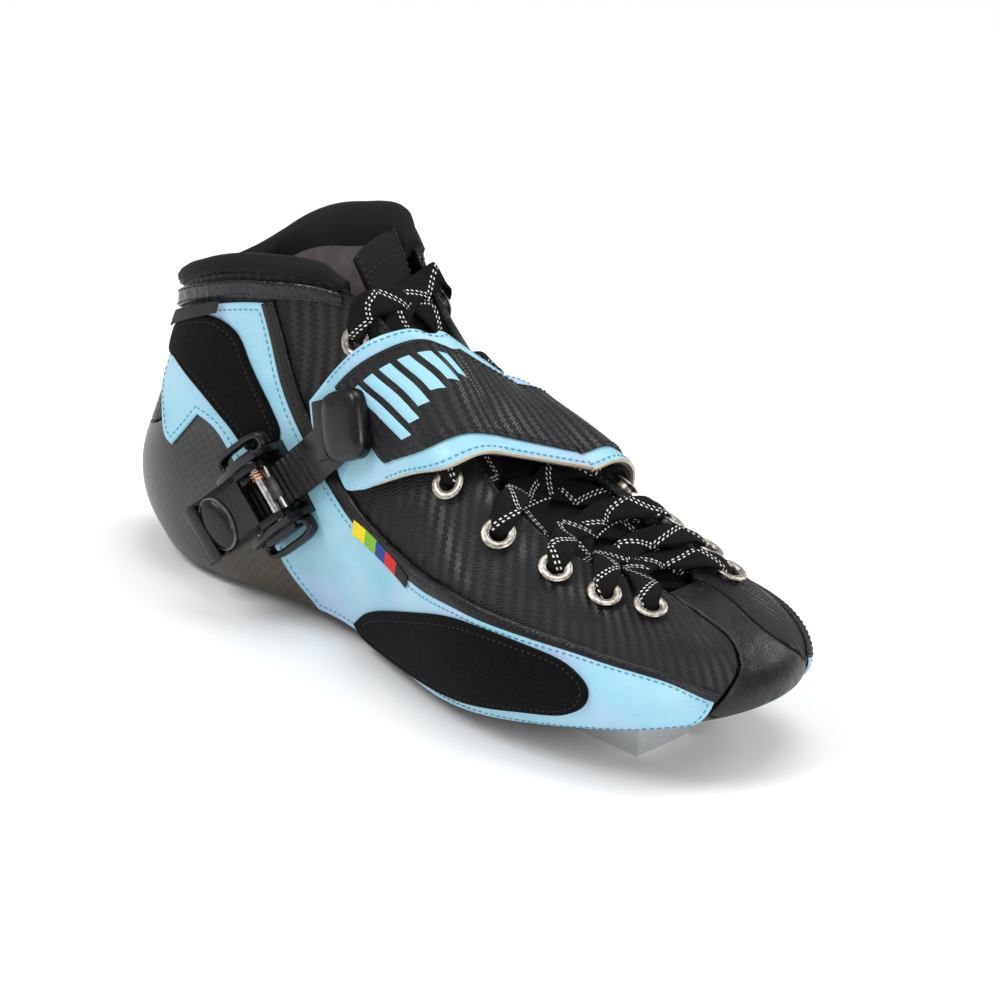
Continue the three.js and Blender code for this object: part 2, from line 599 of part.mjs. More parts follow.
function cuff() {
  // The section goes up the outside, over the top and down the inside skirt.
  const section = [
    [1.0, 2.1, 1.6], [1.0, 2.6, 3.4], [1.0, 1.2, 6.0], [1.0, -1.8, 7.4], [1.0, -5.0, 6.2], [1.0, -7.2, 3.0],
    [0.95, -8.2, 0], [0.86, -8.0, 0], [CUFF_LOW, -7.7, 0], [CUFF_LOW, LINING_OUT, 0], [0.86, LINING_OUT, 0],
    [0.96, LINING_OUT, 0], [0.97, -3.4, 1.6], [1.0, -2.2, 1.6], [1.0, 0, 1.6],
  ];
  const us = collarStations;
  const points = [];
  const faces = [];
  const n = section.length;
  for (const turn of us) {
    for (const [up, off, high] of section) {
      const p = onLast(turn, up, off);
      points.push(p.setZ(p.z + high));
    }
  }
  for (let i = 0; i < us.length - 1; i++) {
    for (let j = 0; j < n; j++) {
      const k = (j + 1) % n;
      const [a, b, c, d] = [i * n + j, (i + 1) * n + j, (i + 1) * n + k, i * n + k];
      faces.push([a, b, c], [a, c, d]);
    }
  }
  const flat = THREE.ShapeUtils.triangulateShape(section.map(([up, off, high]) => new THREE.Vector2(off,
    up * 90 + high)), []);
  const end = (us.length - 1) * n;
  const winding = THREE.ShapeUtils.isClockWise(section.map(([up, off, high]) => new THREE.Vector2(off,
    up * 90 + high)));
  for (const [a, b, c] of flat) {
    const [p, q] = winding ? [b, a] : [a, b];
    faces.push([p, q, c], [end + q, end + p, end + c]);
  }
  return solid(geometryFrom(points, faces));
}
add("collar_cuff", cuff(), NEOPRENE);

// ---------------------------------------------------------------- tongue
const TONGUE_OUT = -(WALL + LACE_THICK + 7 * GAP);
const TONGUE_THICK = 3.4;
const TONGUE_TOP = 0.43;
const TONGUE_END = 0.93;
function tongue(low, high, half) {
  const at = (u, v, face) => {
    const along = mix(TONGUE_TOP, TONGUE_END, u);
    const reach = curve([[TONGUE_TOP, 0.5], [0.49, 0.8], [0.54, half], [0.8, half], [TONGUE_END,
      1.05]])(along);
    const rise = mix(5, 0, Math.min(1, u * 14)); // the free end stands up a little from the instep
    const p = onInstep(along, mix(-reach, reach, v), face ? high : low);
    return p.setZ(p.z + rise);
  };
  return sheet(steps(13), steps(8), at);
}
add("tongue", tongue(TONGUE_OUT - TONGUE_THICK, TONGUE_OUT, 1.2), NEOPRENE);
add("tongue_lining", tongue(TONGUE_OUT - TONGUE_THICK - GAP - LINING, TONGUE_OUT - TONGUE_THICK - GAP,
  1.2), SUEDE);

// ---------------------------------------------------------------- overlays
const OVERLAY_LOW = GAP;
const OVERLAY_HIGH = GAP + OVERLAY;
const PAD_LOW = OVERLAY_HIGH + GAP;
const PAD_HIGH = PAD_LOW + PAD;
const sidePanelOutline = outline([
  [[0.34, 0.915], [0.365, 0.69], [0.4, 0.51], [0.435, 0.385], [0.475, 0.305], [0.55, 0.29], [0.62, 0.35],
    [0.69, 0.395], [0.76, 0.42], [0.845, 0.39], [0.905, 0.28]],
  [[0.905, 0.28], [0.9, 0.2], [0.888, 0.11]],
  [[0.888, 0.11], [0.78, 0.07], [0.69, 0.02], [0.6, 0.0]],
  [[0.6, 0.0], [0.5, 0.0], [0.42, 0.0]],
  [[0.42, 0.0], [0.395, 0.08], [0.375, 0.2], [0.35, 0.33], [0.32, 0.43], [0.29, 0.5], [0.263, 0.53]],
  [[0.263, 0.53], [0.235, 0.41]],
  [[0.235, 0.41], [0.215, 0.43], [0.175, 0.53], [0.125, 0.65], [0.12, 0.78], [0.155, 0.885]],
  [[0.155, 0.885], [0.25, 0.905], [0.34, 0.915]],
]);
const anklePadOutline = outline([
  [[0.125, 0.77], [0.15, 0.84], [0.2, 0.865], [0.26, 0.87], [0.3, 0.82], [0.325, 0.72], [0.36, 0.59],
    [0.375, 0.51], [0.37, 0.46], [0.345, 0.45], [0.31, 0.52], [0.255, 0.62], [0.19, 0.7], [0.14, 0.73],
    [0.125, 0.77]],
]);
const forefootPadOutline = outline([
  [[0.472, 0.03], [0.49, 0.09], [0.55, 0.2], [0.625, 0.325], [0.69, 0.365], [0.735, 0.36], [0.76, 0.3],
    [0.76, 0.22], [0.74, 0.155], [0.69, 0.11], [0.63, 0.055], [0.54, 0.01], [0.485, 0.005], [0.472, 0.03]],
]);
for (const medial of [false, true]) {
  const cut = (points) => (medial ? mirrored(points) : points);
  let overlay = panel(cut(sidePanelOutline), OVERLAY_LOW, OVERLAY_HIGH);
  for (const x of medial ? [] : RIVETS) overlay = overlay.subtract(rivetHole(x));
  add("side_panel_" + side(medial), overlay, BLUE_LEATHER);
  let ankle = panel(cut(anklePadOutline), PAD_LOW, PAD_HIGH);
  if (!medial) ankle = ankle.subtract(buckleSpace);
  add("ankle_pad_" + side(medial), ankle, FELT);
  add("forefoot_pad_" + side(medial), panel(cut(forefootPadOutline), PAD_LOW, PAD_HIGH), FELT);
}

// Woven label and colour tab, sewn at the panel's seams.
const patch = (corners, low, high, columns) =>
  sheet(steps(columns), [0, 1], (u, v, face) => {
    const [a, b, c, d] = corners;
    const at = (k) => mix(mix(a[k], b[k], u), mix(d[k], c[k], u), v);
    return onLast(at(0), at(1), face ? high : low);
  });
const LABEL_LOW = OVERLAY_HIGH + 2.5 * GAP;
add("woven_label", patch([[0.125, 0.83], [0.275, 0.885], [0.28, 0.925], [0.17, 0.9]], LABEL_LOW + PAD,
  LABEL_LOW + PAD + 0.6, 6), LABEL);
add("colour_tab", patch([[0.472, 0.285], [0.55, 0.27], [0.55, 0.285], [0.472, 0.3]], LABEL_LOW,
  LABEL_LOW + 0.6, 3), LABEL);

// ---------------------------------------------------------------- eyelets and lace
const eyeletRing = (() => {
  const low = -WALL - GAP;
  const profile = [
    [EYELET_HOLE - EYELET_WALL, low], [EYELET_HOLE, low], [EYELET_HOLE, 3 * GAP], [EYELET_RADIUS, 3 * GAP],
    [EYELET_RADIUS - 0.6, EYELET_RIM], [EYELET_HOLE + 0.4, EYELET_RIM], [EYELET_HOLE - EYELET_WALL,
      3 * GAP],
    [EYELET_HOLE - EYELET_WALL, low],
  ];
  return new THREE.LatheGeometry(profile.map(([r, z]) => new THREE.Vector2(r, z)), 15).rotateX(Math.PI / 2);
})();
for (const medial of [false, true]) {
  EYELETS.forEach((at, i) => {
    add("eyelet_" + side(medial) + "_" + (i + 1), placed(eyeletRing, eyeletMatrix(onSide(at, medial),
      0)), STEEL);
  });
}

const LACE_OVER = EYELET_RIM + GAP + LACE_THICK / 2; // middle of the lace above an eyelet
const LACE_UNDER = -(WALL + 2 * GAP + LACE_THICK / 2);
const LACE_MIDDLE = TONGUE_OUT + LACE_THICK / 2 + 2.4; // where it lies over the tongue
// The lace enters each eyelet from outside and comes back under the quarter, out at the throat and across.
const stopOnInstep = (along, across, off, width) => ({
  at: onInstep(along, across, off),
  out: onInstep(along, across, off + 1).sub(onInstep(along, across, off)),
  width,
});
// Stops at distances from an eyelet's centre, towards a point on the throat.
function stopsAtEyelet(index, medial, towards, list) {
  const turn = medial ? 2 - EYELETS[index][0] : EYELETS[index][0];
  const centre = onLast(turn, EYELETS[index][1], 0);
  const out = lastNormal(turn, EYELETS[index][1]);
  const way = towards.clone().sub(centre);
  way.addScaledVector(out, -way.dot(out)).normalize();
  return list.map(([distance, off, width]) => ({
    at: centre.clone().addScaledVector(way, distance).addScaledVector(out, off),
    out,
    width,
  }));
}
const INTO_HOLE = [[7.5, LACE_OVER + 0.1, LACE_WIDTH - 1], [4.2, LACE_OVER, LACE_IN_HOLE], [1.4, 1.5,
  LACE_IN_HOLE], [0, 0, LACE_IN_HOLE]];
const OUT_OF_HOLE = [[0.2, -1.6, LACE_IN_HOLE], [1.7, LACE_UNDER - 0.1, LACE_IN_HOLE], [5, LACE_UNDER,
  LACE_IN_HOLE], [8.5, LACE_UNDER, LACE_WIDTH]];
const edgeAcross = (along, medial) => (medial ? 1 : -1) * (2 - throatEdge(along));
function laceCrossing(from, to, startsMedial) {
  const along = (k) => mix(EYELETS[from][0], EYELETS[to][0], k);
  const leave = stopOnInstep(along(0.18), edgeAcross(along(0.18), startsMedial), LACE_UNDER - 0.4,
    LACE_WIDTH);
  const arrive = stopOnInstep(along(0.84), edgeAcross(along(0.84), !startsMedial), LACE_OVER, LACE_WIDTH);
  const sign = startsMedial ? 1 : -1;
  const [a, b] = [EYELETS[from], EYELETS[to]];
  const between = (at, k, medial, share) => mix(medial ? 2 - at[1] : at[1] - 2, edgeAcross(along(k),
    medial), share);
  return [
    ...stopsAtEyelet(from, startsMedial, leave.at, OUT_OF_HOLE),
    stopOnInstep(along(0.08), between(a, 0.08, startsMedial, 0.5), LACE_UNDER - 0.9, LACE_WIDTH),
    stopOnInstep(along(0.13), between(a, 0.13, startsMedial, 0.8), LACE_UNDER - 0.7, LACE_WIDTH),
    leave,
    stopOnInstep(along(0.32), 0.7 * sign, LACE_MIDDLE - 1.3, LACE_WIDTH),
    stopOnInstep(along(0.5), 0, LACE_MIDDLE, LACE_WIDTH),
    stopOnInstep(along(0.68), -0.7 * sign, LACE_MIDDLE + 1.2, LACE_WIDTH),
    arrive,
    stopOnInstep(along(0.9), between(b, 0.9, !startsMedial, 0.7), LACE_OVER + 0.4, LACE_WIDTH),
    ...stopsAtEyelet(to, !startsMedial, arrive.at, INTO_HOLE),
  ];
}
function laceStrand(startsMedial) {
  const along = EYELETS[0][0] + 0.006;
  const sign = startsMedial ? 1 : -1;
  const arrive = stopOnInstep(along, edgeAcross(along, startsMedial), GAP + LACE_THICK / 2 + 0.5,
    LACE_WIDTH);
  const stops = [
    stopOnInstep(along, -0.2 * sign, LACE_MIDDLE + 0.8, LACE_WIDTH),
    stopOnInstep(along, 0.5 * sign, LACE_MIDDLE + 1, LACE_WIDTH),
    arrive,
    ...stopsAtEyelet(0, startsMedial, arrive.at, INTO_HOLE),
  ];
  let medial = startsMedial;
  for (let i = 0; i < EYELETS.length - 1; i++) {
    stops.push(...laceCrossing(i, i + 1, medial));
    medial = !medial;
  }
  return ribbon(stops);
}
// A flat band swept through stops on the instep; its faces turn over where it goes through a hole.
function ribbon(stops) {
  const rings = [];
  let before = null;
  stops.forEach((stop, i) => {
    const next = stops[Math.min(i + 1, stops.length - 1)].at;
    const t = next.clone().sub(stops[Math.max(i - 1, 0)].at).normalize();
    let wide = t.clone().cross(stop.out);
    if (wide.length() < 0.5 && before) wide = before.clone();
    if (before && wide.dot(before) < 0) wide.negate();
    wide.addScaledVector(t, -wide.dot(t)).normalize();
    before = wide;
    const thick = wide.clone().cross(t);
    const corner = (a, b) =>
      stop.at.clone().addScaledVector(wide, (a * stop.width) / 2).addScaledVector(thick,
        (b * LACE_THICK) / 2);
    rings.push([corner(-1, -1), corner(1, -1), corner(1, 1), corner(-1, 1)]);
  });
  const faces = [];
  for (let i = 0; i < rings.length - 1; i++) {
    for (let j = 0; j < 4; j++) {
      const [a, b] = [4 * i + j, 4 * i + ((j + 1) % 4)];
      faces.push([a, b, b + 4], [a, b + 4, a + 4]);
    }
  }
  const end = 4 * (rings.length - 1);
  faces.push([0, 2, 1], [0, 3, 2], [end, end + 1, end + 2], [end, end + 2, end + 3]);
  return solid(geometryFrom(rings.flat(), faces));
}
// Where the lace is pulled down onto a quarter it is pressed a little flatter.
const quarterSpace = quarter(false, 0.15).add(quarter(true, 0.15));
const laces = laceStrand(false).add(laceStrand(true)).subtract(quarterSpace);
add("lace", laces.decompose().sort((a, b) => b.volume() - a.volume())[0], LACE);

// ---------------------------------------------------------------- instep strap
// Rear and front edges of the strap as along values, at stations across the instep.
const STRAP_LOW = 4.2;
const STRAP_REAR = curve([[-1.46, 0.4], [-1.38, 0.414], [-1.2, 0.462], [-1, 0.502], [-0.5, 0.52], [0,
  0.53], [1, 0.545], [1.62, 0.55]]);
const STRAP_FRONT = curve([[-1.66, 0.468], [-1.59, 0.488], [-1.38, 0.573], [-1.16, 0.617], [-1, 0.645],
  [0, 0.69], [1, 0.69], [1.62, 0.61]]);
const STRAP_END = [-1.46, -1.66]; // across, at the rear and front corners of the lateral end
const STRAP_ANCHOR = 1.6;
const STRAP_BASE = 3.6;
const STRAP_HEIGHT = curve([
  [-1.66, STRAP_BASE], [-1.5, STRAP_BASE + 0.4], [-1.38, 6], [-1.2, 6.8], [1, 5.8], [1.38, 5.6], [1.52,
    1.4], [1.62, 0.8],
]); // underside, above the last
const STRAP_CORNER = 0.075; // how far the lateral corners are rounded back, in across units
function strapPoint(u, v) {
  const start = mix(STRAP_END[0], STRAP_END[1], v) + STRAP_CORNER * (2 * v - 1) ** 4;
  const across = mix(start, STRAP_ANCHOR, u);
  return [mix(STRAP_REAR(across), STRAP_FRONT(across), v), across];
}
// The strap is pulled taut: where the boot dips below it, it spans straight across.
const STRAP_STATIONS = 24;
const STRAP_ROWS = [0, 0.13, 0.3, 0.5, 0.7, 0.87, 1];
function strapLine(v) {
  const at = steps(STRAP_STATIONS).map((u) => strapPoint(u, v));
  const line = at.map(([along, across]) => onInstep(along, across, STRAP_HEIGHT(across)));
  const out = at.map(([along, across], i) => onInstep(along, across,
    STRAP_HEIGHT(across) + 1).sub(line[i]));
  for (let pass = 0; pass < 150; pass++) {
    for (let i = 1; i < STRAP_STATIONS - 4; i++) {
      const middle = line[i - 1].clone().add(line[i + 1]).multiplyScalar(0.5);
      if (middle.clone().sub(line[i]).dot(out[i]) > 0) line[i].copy(middle);
    }
  }
  return line;
}
const strapUnder = STRAP_ROWS.map(strapLine);
function strapOut(row, station) {
  const [r, s] = [STRAP_ROWS.length - 1, STRAP_STATIONS];
  const alongLine = strapUnder[row][Math.min(station + 1,
    s)].clone().sub(strapUnder[row][Math.max(station - 1, 0)]);
  const acrossLine = strapUnder[Math.min(row + 1, r)][station].clone().sub(strapUnder[Math.max(row - 1,
    0)][station]);
  return acrossLine.cross(alongLine).normalize();
}
// A layer of the strap between two heights over its underside, inset by whole rows and stations.
function strapSheet(low, high, inset) {
  const rows = STRAP_ROWS.length - 1 - 2 * inset;
  const stations = STRAP_STATIONS - inset;
  return sheet(steps(stations), steps(rows), (u, v, face) => {
    const [row, station] = [Math.round(v * rows) + inset, Math.round(u * stations) + inset];
    return strapUnder[row][station].clone().addScaledVector(strapOut(row, station), face ? high : low);
  });
}
const STRAP_LINING = 0.8;
const TRIM_LOW = STRAP_LINING + GAP;
const TRIM_HIGH = TRIM_LOW + STRAP_THICK;
add("strap_lining", strapSheet(0, STRAP_LINING, 0), SUEDE);
add("strap_trim", strapSheet(TRIM_LOW, TRIM_HIGH, 0), BLUE_LEATHER);
const INLAY_LOW = TRIM_HIGH + GAP;
add("strap_inlay", strapSheet(INLAY_LOW, INLAY_LOW + OVERLAY, 1), TWILL);
const strapSpace = strapSheet(-1, INLAY_LOW + OVERLAY + GAP, 0);

// ---------------------------------------------------------------- ladder and its end cap
// The ladder's underside, in the buckle's frame: straight inside the buckle, then following the wall.
const LADDER_PATH = curve([
  [-38, LADDER_LOW - 4.4], [-28, LADDER_LOW - 1.8], [-22, LADDER_LOW - 0.5], [-16, LADDER_LOW], [-8,
    LADDER_LOW], [16, LADDER_LOW], [26, LADDER_LOW + 1.2], [35, LADDER_LOW + 4.2], [56, LADDER_LOW + 6],
]);
const LADDER_TAIL = -38;
const LADDER_HEAD = 54;
const LAST_TOOTH = 26;
function ladder(grow) {
  const low = [];
  const high = [];
  for (let x = LADDER_TAIL - grow; x < LADDER_HEAD + grow; x += TOOTH_PITCH) low.push([x,
    LADDER_PATH(x) - grow]);
  low.push([LADDER_HEAD + grow, LADDER_PATH(LADDER_HEAD) - grow]);
  for (let x = LADDER_TAIL - grow; x < LADDER_HEAD + grow; x += TOOTH_PITCH) {
    const top = LADDER_PATH(x) + LADDER_WEB + grow;
    high.push([x, top]);
    if (!grow && x < LAST_TOOTH && x > LADDER_TAIL + 1) {
      high.push([x + 0.3, top + TOOTH_HEIGHT], [x + 1.1, top + TOOTH_HEIGHT], [x + TOOTH_PITCH - 0.3, top]);
    }
  }
  high.push([LADDER_HEAD + grow, LADDER_PATH(LADDER_HEAD) + LADDER_WEB + grow]);
  return placed(acrossPlate([...low, ...high.reverse()], -LADDER_WIDTH / 2 - grow,
    LADDER_WIDTH / 2 + grow), BUCKLE);
}
const ladderSpace = ladder(GAP);

const CAP_TURN = -0.35; // the cap is turned a little from the ladder, in line with the strap
const CAP_LOW = STRAP_BASE + INLAY_LOW + OVERLAY + GAP * 2 + 1;
const CAP = (() => {
  const out = lastNormal(...CAP_AT);
  const along = buckleAlong.clone().addScaledVector(out,
    -buckleAlong.dot(out)).normalize().applyAxisAngle(out, CAP_TURN);
  return new THREE.Matrix4().makeBasis(along, out.clone().cross(along),
    out).setPosition(onLast(...CAP_AT, CAP_LOW));
})();
function cap() {
  const [l, w] = [CAP_LENGTH / 2, CAP_WIDTH / 2];
  const shape = new THREE.Shape();
  shape.moveTo(-l, -w);
  shape.lineTo(l - 6, -w);
  shape.quadraticCurveTo(l, -w, l, -w + 6);
  shape.lineTo(l, w - 6);
  shape.quadraticCurveTo(l, w, l - 6, w);
  shape.lineTo(-l, w);
  const bevel = { bevelEnabled: true, bevelThickness: 1.2, bevelSize: 1.2, bevelOffset: -1.2,
    bevelSegments: 2 };
  const block = new THREE.ExtrudeGeometry(shape, { depth: CAP_HEIGHT - 2.4, curveSegments: 4,
    ...bevel }).translate(0, 0, 1.2);
  return placed(block, CAP).subtract(ladderSpace).subtract(strapSpace);
}
add("ladder_strap", ladder(0), NYLON);
add("strap_end_cap", cap(), NYLON);

// ---------------------------------------------------------------- buckle
const inBuckle = (geometry) => placed(geometry, BUCKLE);
const pinHole = ([x, z], radius = PIN_RADIUS) => inBuckle(acrossPin(radius + PIN_CLEARANCE, x, z, -30, 30));
const panelSpace = bootForm(OVERLAY_HIGH + GAP);
function buckleBase() {
  let base = inBuckle(box(FLOOR_BACK, FLOOR_FRONT, -WALL_OUT, WALL_OUT, -5,
    FLOOR_TOP)).subtract(panelSpace);
  const wall = [
    [FLOOR_BACK, 1], [FLOOR_FRONT, 1], [FLOOR_FRONT, 8], [13, LEVER_PIN[1] + 2.6], [3,
      LEVER_PIN[1] + 2.6], [-9, 10], [-14, 7],
  ];
  for (const y of [WALL_IN, -WALL_OUT]) base = base.add(inBuckle(acrossPlate(wall, y,
    y + WALL_OUT - WALL_IN)));
  for (const x of RIVETS) base = base.subtract(rivetHole(x));
  return base.subtract(pinHole(LEVER_PIN)).subtract(pinHole(LOCK_PIN));
}
add("buckle_base", buckleBase(), NYLON);
function rivet(x) {
  const depth = -(OVERLAY_HIGH + GAP + WALL);
  const shank = new THREE.CylinderGeometry(RIVET_RADIUS, RIVET_RADIUS, FLOOR_TOP + GAP - depth,
    16).rotateX(Math.PI / 2);
  const head = new THREE.CylinderGeometry(RIVET_RADIUS + 1.4, RIVET_RADIUS + 1.4, RIVET_HEAD - GAP / 2,
    16).rotateX(Math.PI / 2);
  const top = FLOOR_TOP + GAP / 2 + RIVET_HEAD / 2 - GAP / 4;
  return inBuckle(shank.translate(x, 0, (FLOOR_TOP + GAP + depth) / 2)).add(inBuckle(head.translate(x, 0,
    top)));
}
RIVETS.forEach((x, i) => add("buckle_rivet_" + (i + 1), rivet(x), STEEL));

const ARM = [
  [LEVER_PIN[0] + 3.6, LEVER_PIN[1] - 1], [LEVER_PIN[0] + 3.2, LEVER_PIN[1] + 2], [LEVER_PIN[0] + 1,
    LEVER_PIN[1] + 3.4],
  [-20, LEVER_PIN[1] + 3.4], [-20, LEVER_PIN[1] + 1.6], [2, LEVER_PIN[1] + 1.6], [4, LEVER_PIN[1] - 2],
  [DRIVE_PIN[0] - 2, DRIVE_PIN[1] - 1.6], [DRIVE_PIN[0] + 1.4, DRIVE_PIN[1] - 1.6],
];
const COVER = [
  [1, LEVER_PIN[1] + 1.6], [1, LEVER_PIN[1] + 3.4], [-18, LEVER_PIN[1] + 3.4], [-24, LEVER_PIN[1] + 5],
    [-25, LEVER_PIN[1] + 3.6], [-18, LEVER_PIN[1] + 1.6],
];
function lever() {
  let made = inBuckle(acrossPlate(COVER, -ARM_OUT, ARM_OUT));
  for (const y of [ARM_IN, -ARM_OUT]) made = made.add(inBuckle(acrossPlate(ARM, y, y + ARM_OUT - ARM_IN)));
  return made.subtract(pinHole(LEVER_PIN)).subtract(pinHole(DRIVE_PIN, DRIVE_RADIUS));
}
add("buckle_lever", lever(), NYLON);

const PAWL_HALF = 4; // half width; the springs sit beside it
function drivePawl() {
  const [x, z] = DRIVE_PIN;
  const tip = TEETH_TOP + GAP;
  const body = [[x + 1.4, z - 0.8], [x + 1.6, z + 1.1], [x - 0.5, z + 1.7], [x - 2.6, z + 1], [x - 5.6,
    tip + 0.7], [x - 5.6, tip], [x - 4, tip], [x - 1, z - 1.6], [x, z - 1.6]];
  return inBuckle(acrossPlate(body, -PAWL_HALF, PAWL_HALF)).subtract(pinHole(DRIVE_PIN, DRIVE_RADIUS));
}
add("drive_pawl", drivePawl(), NYLON);
function lockPawl() {
  const [x, z] = LOCK_PIN;
  const tip = TEETH_TOP + GAP;
  const body = [[x + 2, z - 1], [x + 2, z + 1.2], [x, z + 2], [x - 6, z + 1.4], [x - 14, z + 0.8],
    [x - 14, z - 0.6], [x - 7, z - 0.4], [x - 5.4, tip], [x - 4, tip], [x - 1.6, z - 1.8]];
  return inBuckle(acrossPlate(body, -PAWL_HALF, PAWL_HALF)).subtract(pinHole(LOCK_PIN));
}
add("lock_pawl", lockPawl(), NYLON);
const pin = ([x, z], reach, radius = PIN_RADIUS) => inBuckle(acrossPin(radius, x, z, -reach, reach, 16));
add("lever_pin", pin(LEVER_PIN, WALL_OUT), STEEL);
add("drive_pin", pin(DRIVE_PIN, ARM_OUT, DRIVE_RADIUS), STEEL);
add("lock_pin", pin(LOCK_PIN, WALL_OUT), STEEL);

const COIL_RADIUS = 2.1;
const WIRE = 0.4;
class Coil extends THREE.Curve {
  constructor(x, z, y0, length, turns) {
    super();
    Object.assign(this, { x, z, y0, length, turns });
  }
  getPoint(t, target = new THREE.Vector3()) {
    const a = 2 * Math.PI * this.turns * t;
    return target.set(this.x + COIL_RADIUS * Math.cos(a), this.y0 + this.length * t,
      this.z + COIL_RADIUS * Math.sin(a));
  }
}
function coil([x, z]) {
  const round = new THREE.Shape(steps(5).slice(0,
    5).map((k) => new THREE.Vector2(WIRE * Math.cos(2 * Math.PI * k), WIRE * Math.sin(2 * Math.PI * k))));
  const path = new Coil(x, z, PAWL_HALF + 0.8, 3, 2.5);
  return inBuckle(new THREE.ExtrudeGeometry(round, { steps: 20, bevelEnabled: false, extrudePath: path }));
}
add("lever_spring", coil(LEVER_PIN), COPPER);
add("lock_spring", coil(LOCK_PIN), COPPER);

export default boot;
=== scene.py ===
"""Speed skating boot: the looks of every piece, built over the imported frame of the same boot.

The boot's outer form is one smooth surface, the last. Each panel, pad and layer is cut out of it and lies at
its own height over it, so neighbours follow each other. Lengths in the helper functions are millimetres in
the last's own frame; to_frame turns them into metres in the shared frame.
"""

import json
import math

import bmesh
import bpy
import numpy as np
from mathutils import Matrix, Vector
from mathutils.geometry import delaunay_2d_cdt


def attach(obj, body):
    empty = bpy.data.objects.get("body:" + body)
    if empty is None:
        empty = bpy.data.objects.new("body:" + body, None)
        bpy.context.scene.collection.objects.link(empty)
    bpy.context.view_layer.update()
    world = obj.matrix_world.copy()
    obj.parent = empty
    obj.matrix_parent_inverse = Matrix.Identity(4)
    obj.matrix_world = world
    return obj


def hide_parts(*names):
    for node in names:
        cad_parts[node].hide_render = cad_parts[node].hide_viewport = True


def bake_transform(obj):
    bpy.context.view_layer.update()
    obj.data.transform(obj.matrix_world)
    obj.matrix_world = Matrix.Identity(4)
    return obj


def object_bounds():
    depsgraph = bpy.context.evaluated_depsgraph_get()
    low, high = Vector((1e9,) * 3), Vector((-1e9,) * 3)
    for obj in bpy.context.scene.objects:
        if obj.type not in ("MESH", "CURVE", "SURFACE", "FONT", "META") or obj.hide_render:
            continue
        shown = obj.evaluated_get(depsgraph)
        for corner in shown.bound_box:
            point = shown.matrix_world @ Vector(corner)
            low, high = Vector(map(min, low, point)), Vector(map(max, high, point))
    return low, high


bl_info = {
    "name": "Speed Skating Boot",
    "version": (1, 0, 0),
    "blender": (4, 5, 0),
    "location": "3D View > Sidebar > Boot",
    "description": "Builds a laced speed skating boot with a ratchet strap over its packed frame",
    "category": "Object",
}

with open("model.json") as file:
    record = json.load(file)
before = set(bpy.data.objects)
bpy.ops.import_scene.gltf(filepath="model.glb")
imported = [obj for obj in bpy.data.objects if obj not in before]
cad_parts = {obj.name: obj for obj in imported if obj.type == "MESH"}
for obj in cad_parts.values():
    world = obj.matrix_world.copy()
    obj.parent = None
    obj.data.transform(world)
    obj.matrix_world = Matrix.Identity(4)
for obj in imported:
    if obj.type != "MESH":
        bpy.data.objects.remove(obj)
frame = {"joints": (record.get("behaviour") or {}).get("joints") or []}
CAD_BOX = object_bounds()
JOINTS = {joint["name"]: joint for joint in frame["joints"]}

# ---------------------------------------------------------------- driving dimensions, millimetres
BOOT_LENGTH = 285
BALL_WIDTH = 93.5
CUFF_HEIGHT = 142
HEEL_RADIUS = 30.5
TOE_RADIUS = 58
WALL = 1.8
GAP = 0.3
OVERLAY = 1.0
PAD = 1.6
LINING = 0.9
FOAM = 3.6
BELLY = 3.0
ORIGIN = np.array([28.0, 0.0, 3.5])  # the shared frame's origin, in the last's frame
ALONG_MM = 260.0  # one unit of around, on the lateral side
UP_MM = 95.0  # one unit of up
TOE_UP_MM = 38.0
UV_UNIT = 100.0  # one unit of the Surface map is this many millimetres
MAP_MM = np.array([ALONG_MM, UP_MM])  # one unit of around and one of up

OVERLAY_LOW = GAP
OVERLAY_HIGH = GAP + OVERLAY
PAD_LOW = OVERLAY_HIGH + GAP
PAD_HIGH = PAD_LOW + PAD


def to_frame(points):
    """Millimetres in the last's frame to metres in the shared frame."""
    return (np.asarray(points, float) - ORIGIN) * 0.001


def unit(v):
    """Vectors of length one."""
    return v / np.maximum(np.linalg.norm(v, axis=-1, keepdims=True), 1e-9)


def mix(a, b, k):
    return a + (b - a) * k


def ease(low, high, x):
    s = np.clip((x - low) / (high - low), 0, 1)
    return s * s * (3 - 2 * s)


# ---------------------------------------------------------------- the last
def curve(points):
    """A smooth curve through (u, value) points, as a function of arrays."""
    u, v = np.array(points, float).T
    slope = np.diff(v) / np.diff(u)
    step = np.diff(u)
    inner = (slope[:-1] * step[1:] + slope[1:] * step[:-1]) / (step[:-1] + step[1:])
    tangent = np.concatenate([slope[:1], inner, slope[-1:]])

    def at(x):
        x = np.clip(x, u[0], u[-1])
        i = np.clip(np.searchsorted(u, x, side="right") - 1, 0, len(u) - 2)
        h = step[i]
        s = (x - u[i]) / h
        rise = (2 * s**3 - 3 * s**2 + 1) * v[i] + (3 * s**2 - 2 * s**3) * v[i + 1]
        return rise + (s**3 - 2 * s**2 + s) * h * tangent[i] + (s**3 - s**2) * h * tangent[i + 1]

    return at


